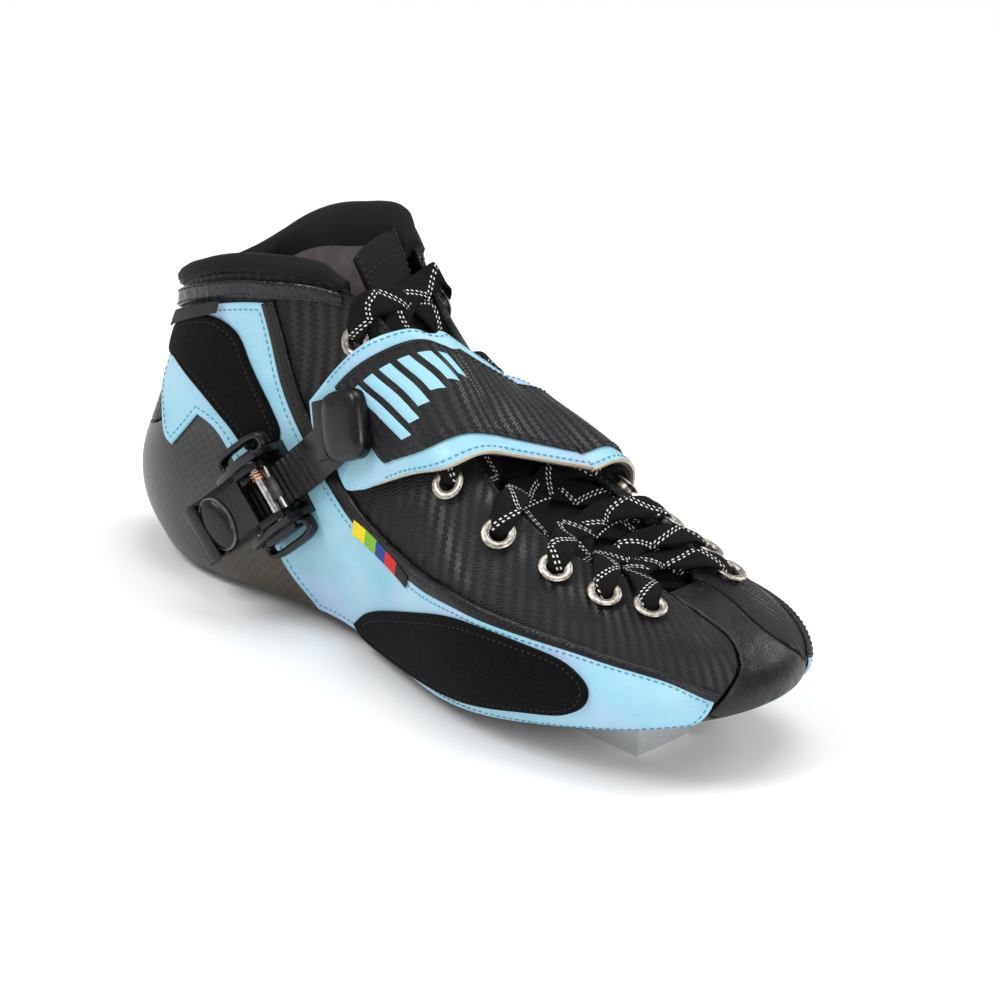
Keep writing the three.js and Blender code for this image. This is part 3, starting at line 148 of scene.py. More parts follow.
HEEL_LINE = curve([[0, 9], [0.12, 2.5], [0.3, 0], [0.55, 5], [0.8, 13], [1, 16]])
TOE_LINE = curve([[0, 13], [0.1, 3], [0.22, 0], [0.38, 2], [0.55, 11], [0.75, 27], [1, 45]])
SOLE_EDGE = curve([[0, 10], [0.15, 8], [0.4, 10.5], [0.62, 9], [0.8, 13], [1, 24]])
CENTRE_LINE = curve([[0, 2], [0.5, 1], [0.75, 0], [1, 12]])
LATERAL_TOP = curve(
    [
        [0, 0.725], [0.1, 0.817], [0.25, 0.901], [0.4, 0.908], [0.55, 0.775], [0.7, 0.613], [0.85, 0.479],
        [1, 0.401],
    ],
)
MEDIAL_TOP = curve(
    [
        [0, 0.725], [0.1, 0.859], [0.25, 0.972], [0.36, 1], [0.44, 0.908], [0.55, 0.732], [0.7, 0.62],
        [0.85, 0.493], [1, 0.401],
    ],
)
ANKLE_DRAW = curve([[0, 0.81], [0.12, 0.96], [0.28, 1.04], [0.5, 0.91], [0.75, 0.81], [1, 0.85]])
FOREFOOT_DRAW = curve([[0, 0.86], [0.12, 0.97], [0.22, 1], [0.4, 0.93], [0.6, 0.74], [0.8, 0.5], [1, 0.25]])
FOREFOOT_RISE = curve([[0, 0], [0.2, 0.27], [0.4, 0.56], [0.6, 0.79], [0.8, 0.95], [1, 1]])
SHELL_RIM = curve(
    [
        [0, 0.41], [0.18, 0.46], [0.26, 0.58], [0.33, 0.55], [0.41, 0.33], [0.5, 0.2], [0.62, 0.12],
        [0.75, 0.1], [1, 0.1],
    ],
)
THROAT_EDGE = curve([[0, 1], [0.45, 1], [0.52, 0.95], [0.62, 0.88], [0.72, 0.86], [0.8, 0.92], [1, 0.93]])
TOE_SEAM = curve(
    [[0, 0.89], [0.15, 0.897], [0.3, 0.92], [0.5, 0.955], [0.62, 0.962], [0.75, 0.945], [0.93, 0.915]]
)


def half_width(shares):
    """Half widths of the plan, from shares of the ball width at shares of the length."""
    stations = [0.1, 0.25, 0.42, 0.56, 0.7, 0.84]
    body = [[q, share * BALL_WIDTH / (2 * math.sqrt(q * (1 - q)))] for q, share in zip(stations, shares)]
    ends = [math.sqrt(radius * BOOT_LENGTH / 2) for radius in (HEEL_RADIUS, TOE_RADIUS)]
    return curve([[0, ends[0]], *body, [1, ends[1]]])


LATERAL_WIDTH = half_width([0.369, 0.374, 0.332, 0.422, 0.524, 0.492])
MEDIAL_WIDTH = half_width([0.332, 0.305, 0.305, 0.369, 0.476, 0.513])


def last_point(around, up):
    """Points of the last: around is 0 at the heel, 1 at the toe by the lateral side, 2 at the heel again; up
    is 0 at the sole's edge and 1 at the top line."""
    around, up = np.broadcast_arrays(np.asarray(around, float), np.asarray(up, float))
    turn = np.mod(around, 2)
    lateral = turn <= 1
    s = np.where(lateral, turn, 2 - turn)
    q = (1 - np.cos(np.pi * s)) / 2
    back = HEEL_LINE(up)
    x = back + (BOOT_LENGTH - TOE_LINE(up) - back) * q
    fore = ease(0.25, 0.6, q)
    width = (
        np.where(lateral, LATERAL_WIDTH(q), MEDIAL_WIDTH(q))
        * mix(ANKLE_DRAW(up), FOREFOOT_DRAW(up), fore)
    )
    y = CENTRE_LINE(q) + np.where(lateral, -1, 1) * np.sin(np.pi * s) * width
    top = CUFF_HEIGHT * np.where(lateral, LATERAL_TOP(q), MEDIAL_TOP(q))
    z = mix(SOLE_EDGE(q), top, mix(up, FOREFOOT_RISE(up), fore))
    return np.stack([x, y, z], -1)


def last_normal(around, up):
    h = 0.006
    along = last_point(around + h, up) - last_point(around - h, up)
    rise = last_point(around, np.minimum(up + h, 1)) - last_point(around, np.maximum(up - h, 0))
    return unit(np.cross(along, rise))


def on_last(around, up, off):
    around, up = np.asarray(around, float), np.asarray(up, float)
    return last_point(around, up) + last_normal(around, up) * np.asarray(off, float)[..., None]


def on_skin(around, up, off):
    """As on_last, but the floor near the sole's edge is as thick as the walls."""
    p = on_last(around, up, off)
    p[..., 2] -= np.asarray(off) * (1 - np.minimum(np.asarray(up) / 0.1, 1))
    return p


def instep_point(along, across):
    """The last carried over the throat: across is -2 at the lateral sole edge, -1 and 1 at the top lines, 2
    at the medial sole edge."""
    along, across = np.broadcast_arrays(np.asarray(along, float), np.asarray(across, float))
    side = np.where(across < 0, along, 2 - along)
    wall = last_point(side, 2 - np.maximum(np.abs(across), 1))
    left, right = last_point(along, 1.0), last_point(2 - along, 1.0)
    reach = np.linalg.norm(right - left, axis=-1, keepdims=True)
    rise = unit(left - last_point(along, 0.96)) * reach
    fall = -unit(right - last_point(2 - along, 0.96)) * reach
    s = ((np.clip(across, -1, 1) + 1) / 2)[..., None]
    crown = left * (2 * s**3 - 3 * s**2 + 1) + rise * (s**3 - 2 * s**2 + s)
    crown = crown + right * (3 * s**2 - 2 * s**3) + fall * (s**3 - s**2)
    return np.where((np.abs(across) >= 1)[..., None], wall, crown)


def on_instep(along, across, off):
    h = 0.006
    along, across = np.asarray(along, float), np.asarray(across, float)
    forward = instep_point(along + h, across) - instep_point(along - h, across)
    over = instep_point(along, across + h) - instep_point(along, across - h)
    return instep_point(along, across) + unit(np.cross(forward, over)) * np.asarray(off, float)[..., None]


# ---------------------------------------------------------------- meshes
def piece(name, points, faces, uv=None, body="boot", slot=None, finish=None, replaces=(), sharp=40):
    """A mesh object from points in the last's frame, riding on a body and standing for CAD nodes."""
    mesh = bpy.data.meshes.new(name)
    mesh.from_pydata(to_frame(points).tolist(), [], [list(map(int, f)) for f in faces])
    if uv is not None:
        layer = mesh.uv_layers.new(name="Surface")
        corner = np.zeros(len(mesh.loops), int)
        mesh.loops.foreach_get("vertex_index", corner)
        layer.data.foreach_set("uv", (np.asarray(uv)[corner] / UV_UNIT).astype(np.float32).ravel())
    return settle(mesh, name, body, slot, finish, replaces, sharp)


def settle(mesh, name, body, slot, finish, replaces=(), sharp=40):
    """Makes the mesh an object of its own, with its finish, its body and its CAD nodes."""
    mesh.shade_smooth()
    mesh.set_sharp_from_angle(angle=math.radians(sharp))
    made = bpy.data.objects.new(name, mesh)
    bpy.context.scene.collection.objects.link(made)
    if finish is not None:
        mesh.materials.clear()
        mesh.materials.append(FINISHES[finish])
    if replaces:
        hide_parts(*replaces)
    if body:
        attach(made, body)
    return made


def inside(points, ring):
    """Which points lie inside a closed ring, by crossings."""
    x, y = points[:, 0][:, None], points[:, 1][:, None]
    x0, y0 = ring[:, 0][None], ring[:, 1][None]
    x1, y1 = np.roll(ring[:, 0], -1)[None], np.roll(ring[:, 1], -1)[None]
    crosses = (y0 > y) != (y1 > y)
    with np.errstate(divide="ignore", invalid="ignore"):
        at = (x1 - x0) * (y - y0) / (y1 - y0) + x0
    return (np.sum(crosses & (x < at), axis=1) % 2) == 1


def anticlockwise(ring):
    ring = np.asarray(ring, float)
    x, y = ring.T
    area = np.sum(x * np.roll(y, -1) - np.roll(x, -1) * y)
    return ring if area > 0 else ring[::-1]


def inset(ring, distance):
    """A closed anticlockwise ring moved inwards."""
    before = unit(ring - np.roll(ring, 1, 0))
    after = unit(np.roll(ring, -1, 0) - ring)
    normals = [np.stack([-d[:, 1], d[:, 0]], -1) for d in (before, after)]
    middle = unit(normals[0] + normals[1])
    share = np.maximum(np.sum(middle * normals[0], -1, keepdims=True), 0.6)
    return ring + middle * distance / share


ROUND_EDGE = ((0, 0.45), (0.3, 0.85), (0.8, 1.0))
HOLE_EDGE = 0.8  # share of the height at the edge of a hole
TURNED_EDGE = ((0, 0.3), (0.35, 0.8), (1.0, 1.0), (1.7, 0.98), (2.1, 0.72), (2.5, 0.98), (3.2, 1.0))


def cut_sheet(name, outline, low, high, place, holes=(), edge=ROUND_EDGE, spacing=3.0, **settings):
    """A closed sheet of the outlined shape between two heights, with its edge rounded by (inset, share of
    height) rings. place turns flat millimetres and a height into points."""
    outer = anticlockwise(outline)
    points, heights, edges = [], [], []

    def add_ring(ring, share):
        first = sum(len(p) for p in points)
        points.append(ring)
        heights.append(np.full(len(ring), share))
        ids = np.arange(first, first + len(ring))
        edges.extend(zip(ids.tolist(), np.roll(ids, -1).tolist()))

    for distance, share in edge:
        add_ring(inset(outer, distance), share)
    for hole in holes:
        add_ring(anticlockwise(hole), HOLE_EDGE)
    low_x, low_y = outer.min(0)
    high_x, high_y = outer.max(0)
    xs = np.arange(low_x, high_x, spacing)
    ys = np.arange(low_y, high_y, spacing * 0.87)
    field = np.array([[x + (spacing / 2 if j % 2 else 0), y] for j, y in enumerate(ys) for x in xs])
    innermost = inset(outer, edge[-1][0] + spacing * 0.35)
    keep = inside(field, innermost)
    for hole in holes:
        keep &= ~inside(field, inset(anticlockwise(hole), -spacing * 0.4))
    points.append(field[keep])
    heights.append(np.ones(int(keep.sum())))
    flat = np.concatenate(points)
    share = np.concatenate(heights)
    verts, _, tris, origin, _, _ = delaunay_2d_cdt([Vector(p) for p in flat.tolist()], edges, [], 0, 1e-5)
    verts = np.array([list(v) for v in verts])
    level = np.array([share[o[0]] if o else 1.0 for o in origin])
    tris = np.array([t for t in tris if len(t) == 3])
    middles = verts[tris].mean(1)
    keep = inside(middles, outer)
    for hole in holes:
        keep &= ~inside(middles, anticlockwise(hole))
    tris = tris[keep]
    a, b, c = (verts[tris[:, k]] for k in range(3))
    area = (b[:, 0] - a[:, 0]) * (c[:, 1] - a[:, 1]) - (c[:, 0] - a[:, 0]) * (b[:, 1] - a[:, 1])
    tris[area < 0] = tris[area < 0][:, ::-1]
    tris = tris[np.abs(area) > 1e-7]
    top = place(verts, mix(low, high, level))
    bottom = place(verts, np.full(len(verts), float(low)))
    n = len(verts)
    faces = [tuple(t) for t in tris] + [tuple(t[::-1] + n) for t in tris]
    count = {}
    for t in tris:
        for p, q in ((t[0], t[1]), (t[1], t[2]), (t[2], t[0])):
            if count.pop((q, p), None) is None:
                count[(p, q)] = 1
    faces += [(q, p, p + n, q + n) for p, q in count]
    return piece(name, np.concatenate([top, bottom]), faces, np.concatenate([verts, verts]), **settings)


def over_last(flat, height):
    """Places flat millimetres of around and up over the last."""
    return on_last(flat[:, 0] / ALONG_MM, flat[:, 1] / UP_MM, height)


def grid_sheet(name, base, normal, low, high, uv, edge=1.2, **settings):
    """A closed sheet over a grid of points, with all four edges rounded over a width in millimetres."""
    rows, columns = base.shape[:2]
    run = np.concatenate(
        [np.zeros((rows, 1)), np.cumsum(np.linalg.norm(np.diff(base, axis=1), axis=-1), 1)], 1
    )
    rise = np.concatenate(
        [np.zeros((1, columns)), np.cumsum(np.linalg.norm(np.diff(base, axis=0), axis=-1), 0)], 0
    )
    near = np.minimum(np.minimum(run, run[:, -1:] - run), np.minimum(rise, rise[-1:] - rise))
    share = np.sqrt(np.clip(1 - (1 - np.clip(near / edge, 0, 1)) ** 2, 0, 1))
    middle = (low + high) / 2
    top = base + normal * mix(middle, high, share)[..., None]
    bottom = base + normal * np.full_like(near, low)[..., None]
    points = np.concatenate([top.reshape(-1, 3), bottom.reshape(-1, 3)])
    n = rows * columns
    ids = np.arange(n).reshape(rows, columns)
    quads = np.stack([ids[:-1, :-1], ids[:-1, 1:], ids[1:, 1:], ids[1:, :-1]], -1).reshape(-1, 4)
    faces = [tuple(q) for q in quads] + [tuple(q[::-1] + n) for q in quads]
    border = np.concatenate([ids[0, :-1], ids[:-1, -1], ids[-1, :0:-1], ids[:0:-1, 0]])
    faces += [(q, p, p + n, q + n) for p, q in zip(border, np.roll(border, -1))]
    uv = np.concatenate([uv.reshape(-1, 2)] * 2)
    made = piece(name, points, faces, uv, **settings)
    return face_out(made)


def face_out(made):
    """Turns every face outwards, on a closed mesh."""
    work = bmesh.new()
    work.from_mesh(made.data)
    bmesh.ops.recalc_face_normals(work, faces=work.faces)
    work.to_mesh(made.data)
    work.free()
    return made


def smooth_run(points, step):
    """Points every few millimetres along a smooth path through the given ones."""
    p = np.asarray(points, float)
    if len(p) == 2:
        n = max(1, round(np.linalg.norm(p[1] - p[0]) / step))
        return p[0] + (p[1] - p[0]) * np.linspace(0, 1, n + 1)[:, None]
    knots = np.concatenate([[0], np.cumsum(np.linalg.norm(np.diff(p, axis=0), axis=1) ** 0.5)])
    u = np.linspace(0, knots[-1], 40 * len(p))
    dense = np.stack([curve(np.stack([knots, p[:, k]], -1))(u) for k in range(p.shape[1])], -1)
    run = np.concatenate([[0], np.cumsum(np.linalg.norm(np.diff(dense, axis=0), axis=1))])
    n = max(2, round(run[-1] / step))
    at = np.linspace(0, run[-1], n + 1)
    return np.stack([np.interp(at, run, dense[:, k]) for k in range(p.shape[1])], -1)


def outline(runs, step=1.6):
    """A closed flat outline in millimetres, smooth along each run of (around, up) points."""
    return np.concatenate([smooth_run(np.array(run) * MAP_MM, step)[:-1] for run in runs])


def mirrored(flat):
    """The same outline on the medial side."""
    return np.stack([2 * ALONG_MM - flat[:, 0], flat[:, 1]], -1)[::-1]


# ---------------------------------------------------------------- materials
def linear(hex_colour):
    """An sRGB hex colour as linear RGBA."""
    values = [int(hex_colour[i : i + 2], 16) / 255 for i in (1, 3, 5)]
    return tuple(v / 12.92 if v <= 0.04045 else ((v + 0.055) / 1.055) ** 2.4 for v in values) + (1.0,)


def add(tree, kind, *values, output=0, stops=(), stepped=False, **settings):
    """Adds a node with its settings and links, and returns one of its outputs, or the node if output is None.

    Values fill its inputs in order, and a dictionary fills them by name. Each is a plain value, a hex colour,
    a node's output or a list of outputs. Stops fill a colour ramp with colours or shares of white.
    """
    made = tree.nodes.new(kind)
    for key, value in settings.items():
        setattr(made, key, value)
    inputs = {}
    for key, value in enumerate(values):
        inputs.update(value if isinstance(value, dict) else {key: value})
    for key, value in inputs.items():
        for item in value if isinstance(value, list) else [value]:
            if isinstance(item, bpy.types.NodeSocket):
                tree.links.new(item, made.inputs[key])
            else:
                made.inputs[key].default_value = linear(item) if str(item).startswith("#") else item
    while len(stops) > len(made.color_ramp.elements if stops else ()):
        made.color_ramp.elements.new(0.5)
    for (at, colour), element in zip(stops, made.color_ramp.elements if stops else ()):
        element.position = at
        element.color = shade_of(colour)
    if stepped:
        made.color_ramp.interpolation = "CONSTANT"
    return made if output is None else made.outputs[output]


def shade_of(colour):
    """Linear RGBA of a hex colour, a property's colour or a share of white."""
    if isinstance(colour, str):
        return linear(colour)
    return (colour, colour, colour, 1) if isinstance(colour, float) else (*colour, 1)


MATH = "ShaderNodeMath"
NOISE = "ShaderNodeTexNoise"
CELLS = "ShaderNodeTexVoronoi"
RAMP = "ShaderNodeValToRGB"
MIX = "ShaderNodeMix"
BUMP = "ShaderNodeBump"
SPLIT = "ShaderNodeSeparateXYZ"
FACTOR, FIRST, SECOND = 0, 6, 7  # a colour mix's inputs
MIXED = 2  # and its output


class Finish:
    """A material under construction: its tree, its shader, and where its patterns lie."""

    def __init__(self, name, roughness=0.5, metallic=0.0, **sockets):
        self.material = bpy.data.materials.new(name)
        self.material.use_nodes = True
        self.tree = self.material.node_tree
        self.tree.nodes.clear()
        base = {"Roughness": roughness, "Metallic": metallic}
        self.shader = self.add("ShaderNodeBsdfPrincipled", base, output=None)
        for key, value in sockets.items():
            self.shader.inputs[key.replace("_", " ")].default_value = value
        self.add("ShaderNodeOutputMaterial", {"Surface": self.shader.outputs[0]}, output=None)

    def add(self, kind, *values, **settings):
        return add(self.tree, kind, *values, **settings)

    def surface(self):
        """The piece's own map, in millimetres."""
        uv = self.add("ShaderNodeUVMap", uv_map="Surface")
        return self.add("ShaderNodeVectorMath", {0: uv, "Scale": UV_UNIT}, operation="SCALE")

    def place(self):
        """Object coordinates, in millimetres."""
        at = self.add("ShaderNodeTexCoord", output="Object")
        return self.add("ShaderNodeVectorMath", {0: at, "Scale": 1000.0}, operation="SCALE")

    def shade(self, name, value):
        """Gives the shader a colour, a roughness or a relief."""
        if isinstance(value, bpy.types.NodeSocket):
            self.tree.links.new(value, self.shader.inputs[name])
        else:
            self.shader.inputs[name].default_value = linear(value)


def woven_twill():
    """Coated 2/2 twill: black embossed columns 3.8 mm wide with zigzag edges, glossy where it creases."""
    f = Finish("embossed twill microfibre", roughness=0.42, Specular_IOR_Level=0.32)
    x, y, _ = f.add(SPLIT, f.surface(), output=None).outputs
    tooth = f.add(MATH, y, 1.0, operation="PINGPONG")
    column = f.add(MATH, x, f.add(MATH, tooth, 0.8, operation="MULTIPLY"), operation="ADD")
    column = f.add(MATH, column, 3.8, operation="DIVIDE")
    column = f.add(MATH, column, operation="FRACT")
    side = f.add(MATH, column, 0.5, operation="GREATER_THAN")
    lean = f.add(MATH, f.add(MATH, side, 2.0, operation="MULTIPLY"), 1.0, operation="SUBTRACT")
    thread = f.add(MATH, y, f.add(MATH, lean, x, operation="MULTIPLY"), operation="ADD")
    thread = f.add(MATH, thread, 0.5, operation="PINGPONG")
    grain = f.add(NOISE, {"Vector": f.place(), "Scale": 1 / 16.0, "Detail": 3.0})
    # Painted highlight: every other column and each thread's crown are lighter, standing in for light on the
    # one black coating.
    painted_sheen_and_tone = f.add(MATH, side, 0.5, operation="MULTIPLY")
    painted_sheen_and_tone = f.add(MATH, painted_sheen_and_tone, f.add(MATH, thread, 0.35, operation="MULTIPLY"), operation="ADD")
    f.shade("Base Color", f.add(RAMP, painted_sheen_and_tone, stops=[(0.0, "#070707"), (0.45, "#0f0f10"), (0.7, "#242425")]))
    gloss = f.add(MATH, grain, f.add(MATH, side, -0.22, operation="MULTIPLY"), operation="ADD")
    f.shade("Roughness", f.add(RAMP, gloss, stops=[(0.15, 0.24), (0.5, 0.6)]))
    height = f.add(MATH, side, 0.8, operation="MULTIPLY")
    height = f.add(MATH, height, f.add(MATH, thread, 1.0, operation="MULTIPLY"), operation="ADD")
    f.shade("Normal", f.add(BUMP, {"Height": height, "Distance": 0.3 * 0.001}))
    return f.material


def crinkled_patent():
    """Black patent leather at the collar and the strap: high gloss over fine creases."""
    f = Finish("creased patent leather", roughness=0.24, Specular_IOR_Level=0.45)
    at = f.place()
    crease = f.add(CELLS, {"Vector": at, "Scale": 0.55, "Randomness": 1.0}, feature="SMOOTH_F1")
    fine = f.add(NOISE, {"Vector": at, "Scale": 1 / 1.4, "Detail": 5.0})
    f.shade("Base Color", f.add(RAMP, fine, stops=[(0.3, "#060606"), (0.75, "#111112")]))
    gloss = f.add(NOISE, {"Vector": at, "Scale": 1 / 6.0})
    f.shade("Roughness", f.add(RAMP, gloss, stops=[(0.35, 0.16), (0.7, 0.5)]))
    relief = f.add(MATH, crease, f.add(MATH, fine, 0.8, operation="MULTIPLY"), operation="ADD")
    f.shade("Normal", f.add(BUMP, {"Height": relief, "Distance": 0.28 * 0.001}))
    return f.material


def pebbled_leather():
    """Pale blue coated leather: satin pebbles of about 1 mm under a pearlescent coat, with painted lavender
    sheen in places.
    """
    f = Finish(
        "pearl blue pebbled leather", roughness=0.36, Specular_IOR_Level=0.4, Sheen_Weight=0.12,
        Sheen_Roughness=0.4, Sheen_Tint=linear("#c9b8f2"), Coat_Weight=0.12, Coat_Roughness=0.25,
    )
    at = f.place()
    colours = bpy.context.scene.boot_colours
    leather = [(0.3, colours.leather_shade), (0.55, colours.leather), (0.8, colours.leather_light)]
    pebble = f.add(CELLS, {"Vector": at, "Scale": 0.85}, feature="SMOOTH_F1")
    soft = f.add(NOISE, {"Vector": at, "Scale": 1 / 22.0})
    # Painted sheen: lavender patches in the base colour stand in for the coat's sheen where it catches the
    # light.
    painted_sheen_mask = f.add(RAMP, f.add(NOISE, {"Vector": at, "Scale": 1 / 34.0}), stops=[(0.5, 0.0), (0.68, 1.0)])
    painted_sheen_mask = f.add(MATH, painted_sheen_mask, 0.5, operation="MULTIPLY")
    base = f.add(RAMP, soft, stops=leather)
    painted_pearl_sheen = {FACTOR: painted_sheen_mask, FIRST: base, SECOND: (*colours.painted_pearl_sheen, 1)}
    f.shade("Base Color", f.add(MIX, painted_pearl_sheen, output=MIXED, data_type="RGBA"))
    gloss = f.add(NOISE, {"Vector": at, "Scale": 1 / 2.0})
    f.shade("Roughness", f.add(RAMP, gloss, stops=[(0.3, 0.3), (0.7, 0.46)]))
    relief = f.add(MATH, f.add(NOISE, {"Vector": at, "Scale": 1 / 0.5}), 0.3, operation="MULTIPLY")
    relief = f.add(MATH, pebble, relief, operation="ADD")
    f.shade("Normal", f.add(BUMP, {"Height": relief, "Distance": 0.16 * 0.001}))
    return f.material


def carbon_laminate():
    """Resin-coated carbon cloth: plain weave with 1.6 mm tows under a satin clear coat, and an olive aramid
    patch in the arch."""
    f = Finish("carbon laminate", roughness=0.4, Coat_Weight=0.3, Coat_Roughness=0.3)
    x, y, _ = f.add(SPLIT, f.surface(), output=None).outputs
    across = f.add(MATH, f.add(MATH, x, 2 * math.pi / 3.2, operation="MULTIPLY"), operation="SINE")
    along = f.add(MATH, f.add(MATH, y, 2 * math.pi / 3.2, operation="MULTIPLY"), operation="SINE")
    weave = f.add(MATH, f.add(MATH, across, along, operation="MULTIPLY"), 0.0, operation="GREATER_THAN")
    soft = f.add(NOISE, {"Vector": f.place(), "Scale": 1 / 14.0})
    # Painted reflection: alternate tows are lighter, standing in for light off the black cloth; the soft
    # noise is the cloth's own uneven colour.
    painted_sheen_and_tone = f.add(MATH, weave, 0.3, operation="MULTIPLY")
    painted_sheen_and_tone = f.add(MATH, painted_sheen_and_tone, f.add(MATH, soft, 0.6, operation="MULTIPLY"), operation="ADD")
    grey = f.add(RAMP, painted_sheen_and_tone, stops=[(0.15, "#101010"), (0.5, "#1e1e1c"), (0.85, "#32322e")])
    olive = f.add(RAMP, painted_sheen_and_tone, stops=[(0.15, "#140f04"), (0.5, "#2f2408"), (0.85, "#4a3a0e")])
    start = f.add(RAMP, f.add(MATH, x, ALONG_MM, operation="DIVIDE"), stops=[(0.285, 0.0), (0.315, 1.0)])
    low = f.add(RAMP, f.add(MATH, y, UP_MM, operation="DIVIDE"), stops=[(0.2, 1.0), (0.34, 0.0)])
    colour = f.add(MATH, start, low, operation="MULTIPLY")
    arch = {FACTOR: colour, FIRST: grey, SECOND: olive}
    f.shade("Base Color", f.add(MIX, arch, output=MIXED, data_type="RGBA"))
    pits = f.add(NOISE, {"Vector": f.place(), "Scale": 1 / 0.9})
    pits = f.add(RAMP, pits, stops=[(0.28, 0.0), (0.36, 1.0)])
    relief = f.add(MATH, f.add(MATH, weave, 0.25, operation="MULTIPLY"), pits, operation="ADD")
    f.shade("Normal", f.add(BUMP, {"Height": relief, "Distance": 0.05 * 0.001}))
    return f.material


def felt_pad():
    """Hard needled felt: matt black, with short fibres."""
    f = Finish(
        "needled wear felt", roughness=0.95, Specular_IOR_Level=0.1, Sheen_Weight=0.06, Sheen_Roughness=0.6,
        Sheen_Tint=linear("#8a8a8a"),
    )
    at = f.place()
    fibre = f.add(NOISE, {"Vector": at, "Scale": 1 / 0.7, "Detail": 6.0})
    f.shade("Base Color", f.add(RAMP, fibre, stops=[(0.3, "#040404"), (0.6, "#0b0b0b"), (0.78, "#1d1d1d")]))
    relief = f.add(MATH, fibre, f.add(NOISE, {"Vector": at, "Scale": 1 / 2.6}), operation="ADD")
    f.shade("Normal", f.add(BUMP, {"Height": relief, "Distance": 0.45 * 0.001}))
    return f.material


def neoprene():
    """Neoprene with a smooth knit face: soft black, with a faint nap."""
    f = Finish(
        "knit-faced neoprene", roughness=0.72, Specular_IOR_Level=0.22, Sheen_Weight=0.05,
        Sheen_Roughness=0.45, Sheen_Tint=linear("#777777"),
    )
    at = f.place()
    knit = f.add(NOISE, {"Vector": at, "Scale": 1 / 0.6, "Detail": 3.0})
    colour = f.add(NOISE, {"Vector": at, "Scale": 1 / 18.0})
    f.shade("Base Color", f.add(RAMP, colour, stops=[(0.3, "#050506"), (0.75, "#0c0c0d")]))
    relief = f.add(MATH, f.add(NOISE, {"Vector": at, "Scale": 1 / 5.0}), 1.5, operation="MULTIPLY")
    relief = f.add(MATH, knit, relief, operation="ADD")
    f.shade("Normal", f.add(BUMP, {"Height": relief, "Distance": 0.12 * 0.001}))
    return f.material


def microsuede(name, dark, light):
    """Lining suede: brushed, matt, mottled where the nap is turned."""
    f = Finish(name, roughness=0.95, Sheen_Weight=0.4, Sheen_Roughness=0.5, Sheen_Tint=linear("#a79ea0"))
    at = f.place()
    colour = f.add(NOISE, {"Vector": at, "Scale": 1 / 9.0, "Detail": 4.0})
    f.shade("Base Color", f.add(RAMP, colour, stops=[(0.3, dark), (0.7, light)]))
    relief = f.add(NOISE, {"Vector": at, "Scale": 1 / 0.5, "Detail": 4.0})
    f.shade("Normal", f.add(BUMP, {"Height": relief, "Distance": 0.2 * 0.001}))
    return f.material


def smooth_leather():
    """Black split leather at the toe: low grain, soft satin."""
    f = Finish("satin split leather", roughness=0.38, Specular_IOR_Level=0.35)
    at = f.place()
    grain = f.add(CELLS, {"Vector": at, "Scale": 1.5}, feature="SMOOTH_F1")
    crease = f.add(NOISE, {"Vector": at, "Scale": 1 / 7.0, "Detail": 4.0})
    f.shade("Base Color", f.add(RAMP, crease, stops=[(0.3, "#070708"), (0.75, "#111113")]))
    f.shade("Roughness", f.add(RAMP, crease, stops=[(0.3, 0.28), (0.7, 0.5)]))
    relief = f.add(MATH, grain, 0.4, operation="MULTIPLY")
    relief = f.add(MATH, relief, f.add(MATH, crease, 2.2, operation="MULTIPLY"), operation="ADD")
    f.shade("Normal", f.add(BUMP, {"Height": relief, "Distance": 0.3 * 0.001}))
    return f.material


def flat_lace():
    """Flat polyester lace: black plaited ribs 0.9 mm apart, with paired white dots in slanting rows."""
    f = Finish("plaited polyester lace", roughness=0.85, Specular_IOR_Level=0.15)
    x, y, _ = f.add(SPLIT, f.surface(), output=None).outputs
    rib = f.add(MATH, y, 0.45, operation="PINGPONG")
    plait = f.add(MATH, x, f.add(MATH, y, operation="ABSOLUTE"), operation="ADD")
    plait = f.add(MATH, plait, 0.55, operation="PINGPONG")
    zigzag = f.add(MATH, f.add(MATH, x, 11.0, operation="PINGPONG"), 5.5, operation="SUBTRACT")
    off = f.add(MATH, f.add(MATH, zigzag, 0.8, operation="MULTIPLY"), y, operation="SUBTRACT")
    pair = f.add(MATH, f.add(MATH, off, operation="ABSOLUTE"), 0.8, operation="SUBTRACT")
    pair = f.add(MATH, pair, operation="ABSOLUTE")
    pair = f.add(MATH, pair, 0.36, operation="LESS_THAN")
    row = f.add(MATH, x, f.add(MATH, off, 0.3, operation="MULTIPLY"), operation="ADD")
    row = f.add(MATH, row, 1.55, operation="DIVIDE")
    row = f.add(MATH, row, operation="FRACT")
    row = f.add(MATH, row, 0.46, operation="LESS_THAN")
    dot = f.add(MATH, pair, row, operation="MULTIPLY")
    # Painted shade: the ribs' grooves are darker and their crowns lighter; the noise is the thread's own
    # uneven colour.
    thread = f.add(MATH, rib, f.add(NOISE, {"Vector": f.place(), "Scale": 1 / 0.6}), operation="ADD")
    thread = f.add(RAMP, thread, stops=[(0.35, "#040404"), (0.9, "#161514")])
    dotted = {FACTOR: dot, FIRST: thread, SECOND: (*bpy.context.scene.boot_colours.lace_dots, 1)}
    f.shade("Base Color", f.add(MIX, dotted, output=MIXED, data_type="RGBA"))
    relief = f.add(MATH, rib, plait, operation="ADD")
    relief = f.add(MATH, relief, f.add(MATH, dot, 0.5, operation="MULTIPLY"), operation="ADD")
    f.shade("Normal", f.add(BUMP, {"Height": relief, "Distance": 0.35 * 0.001}))
    return f.material


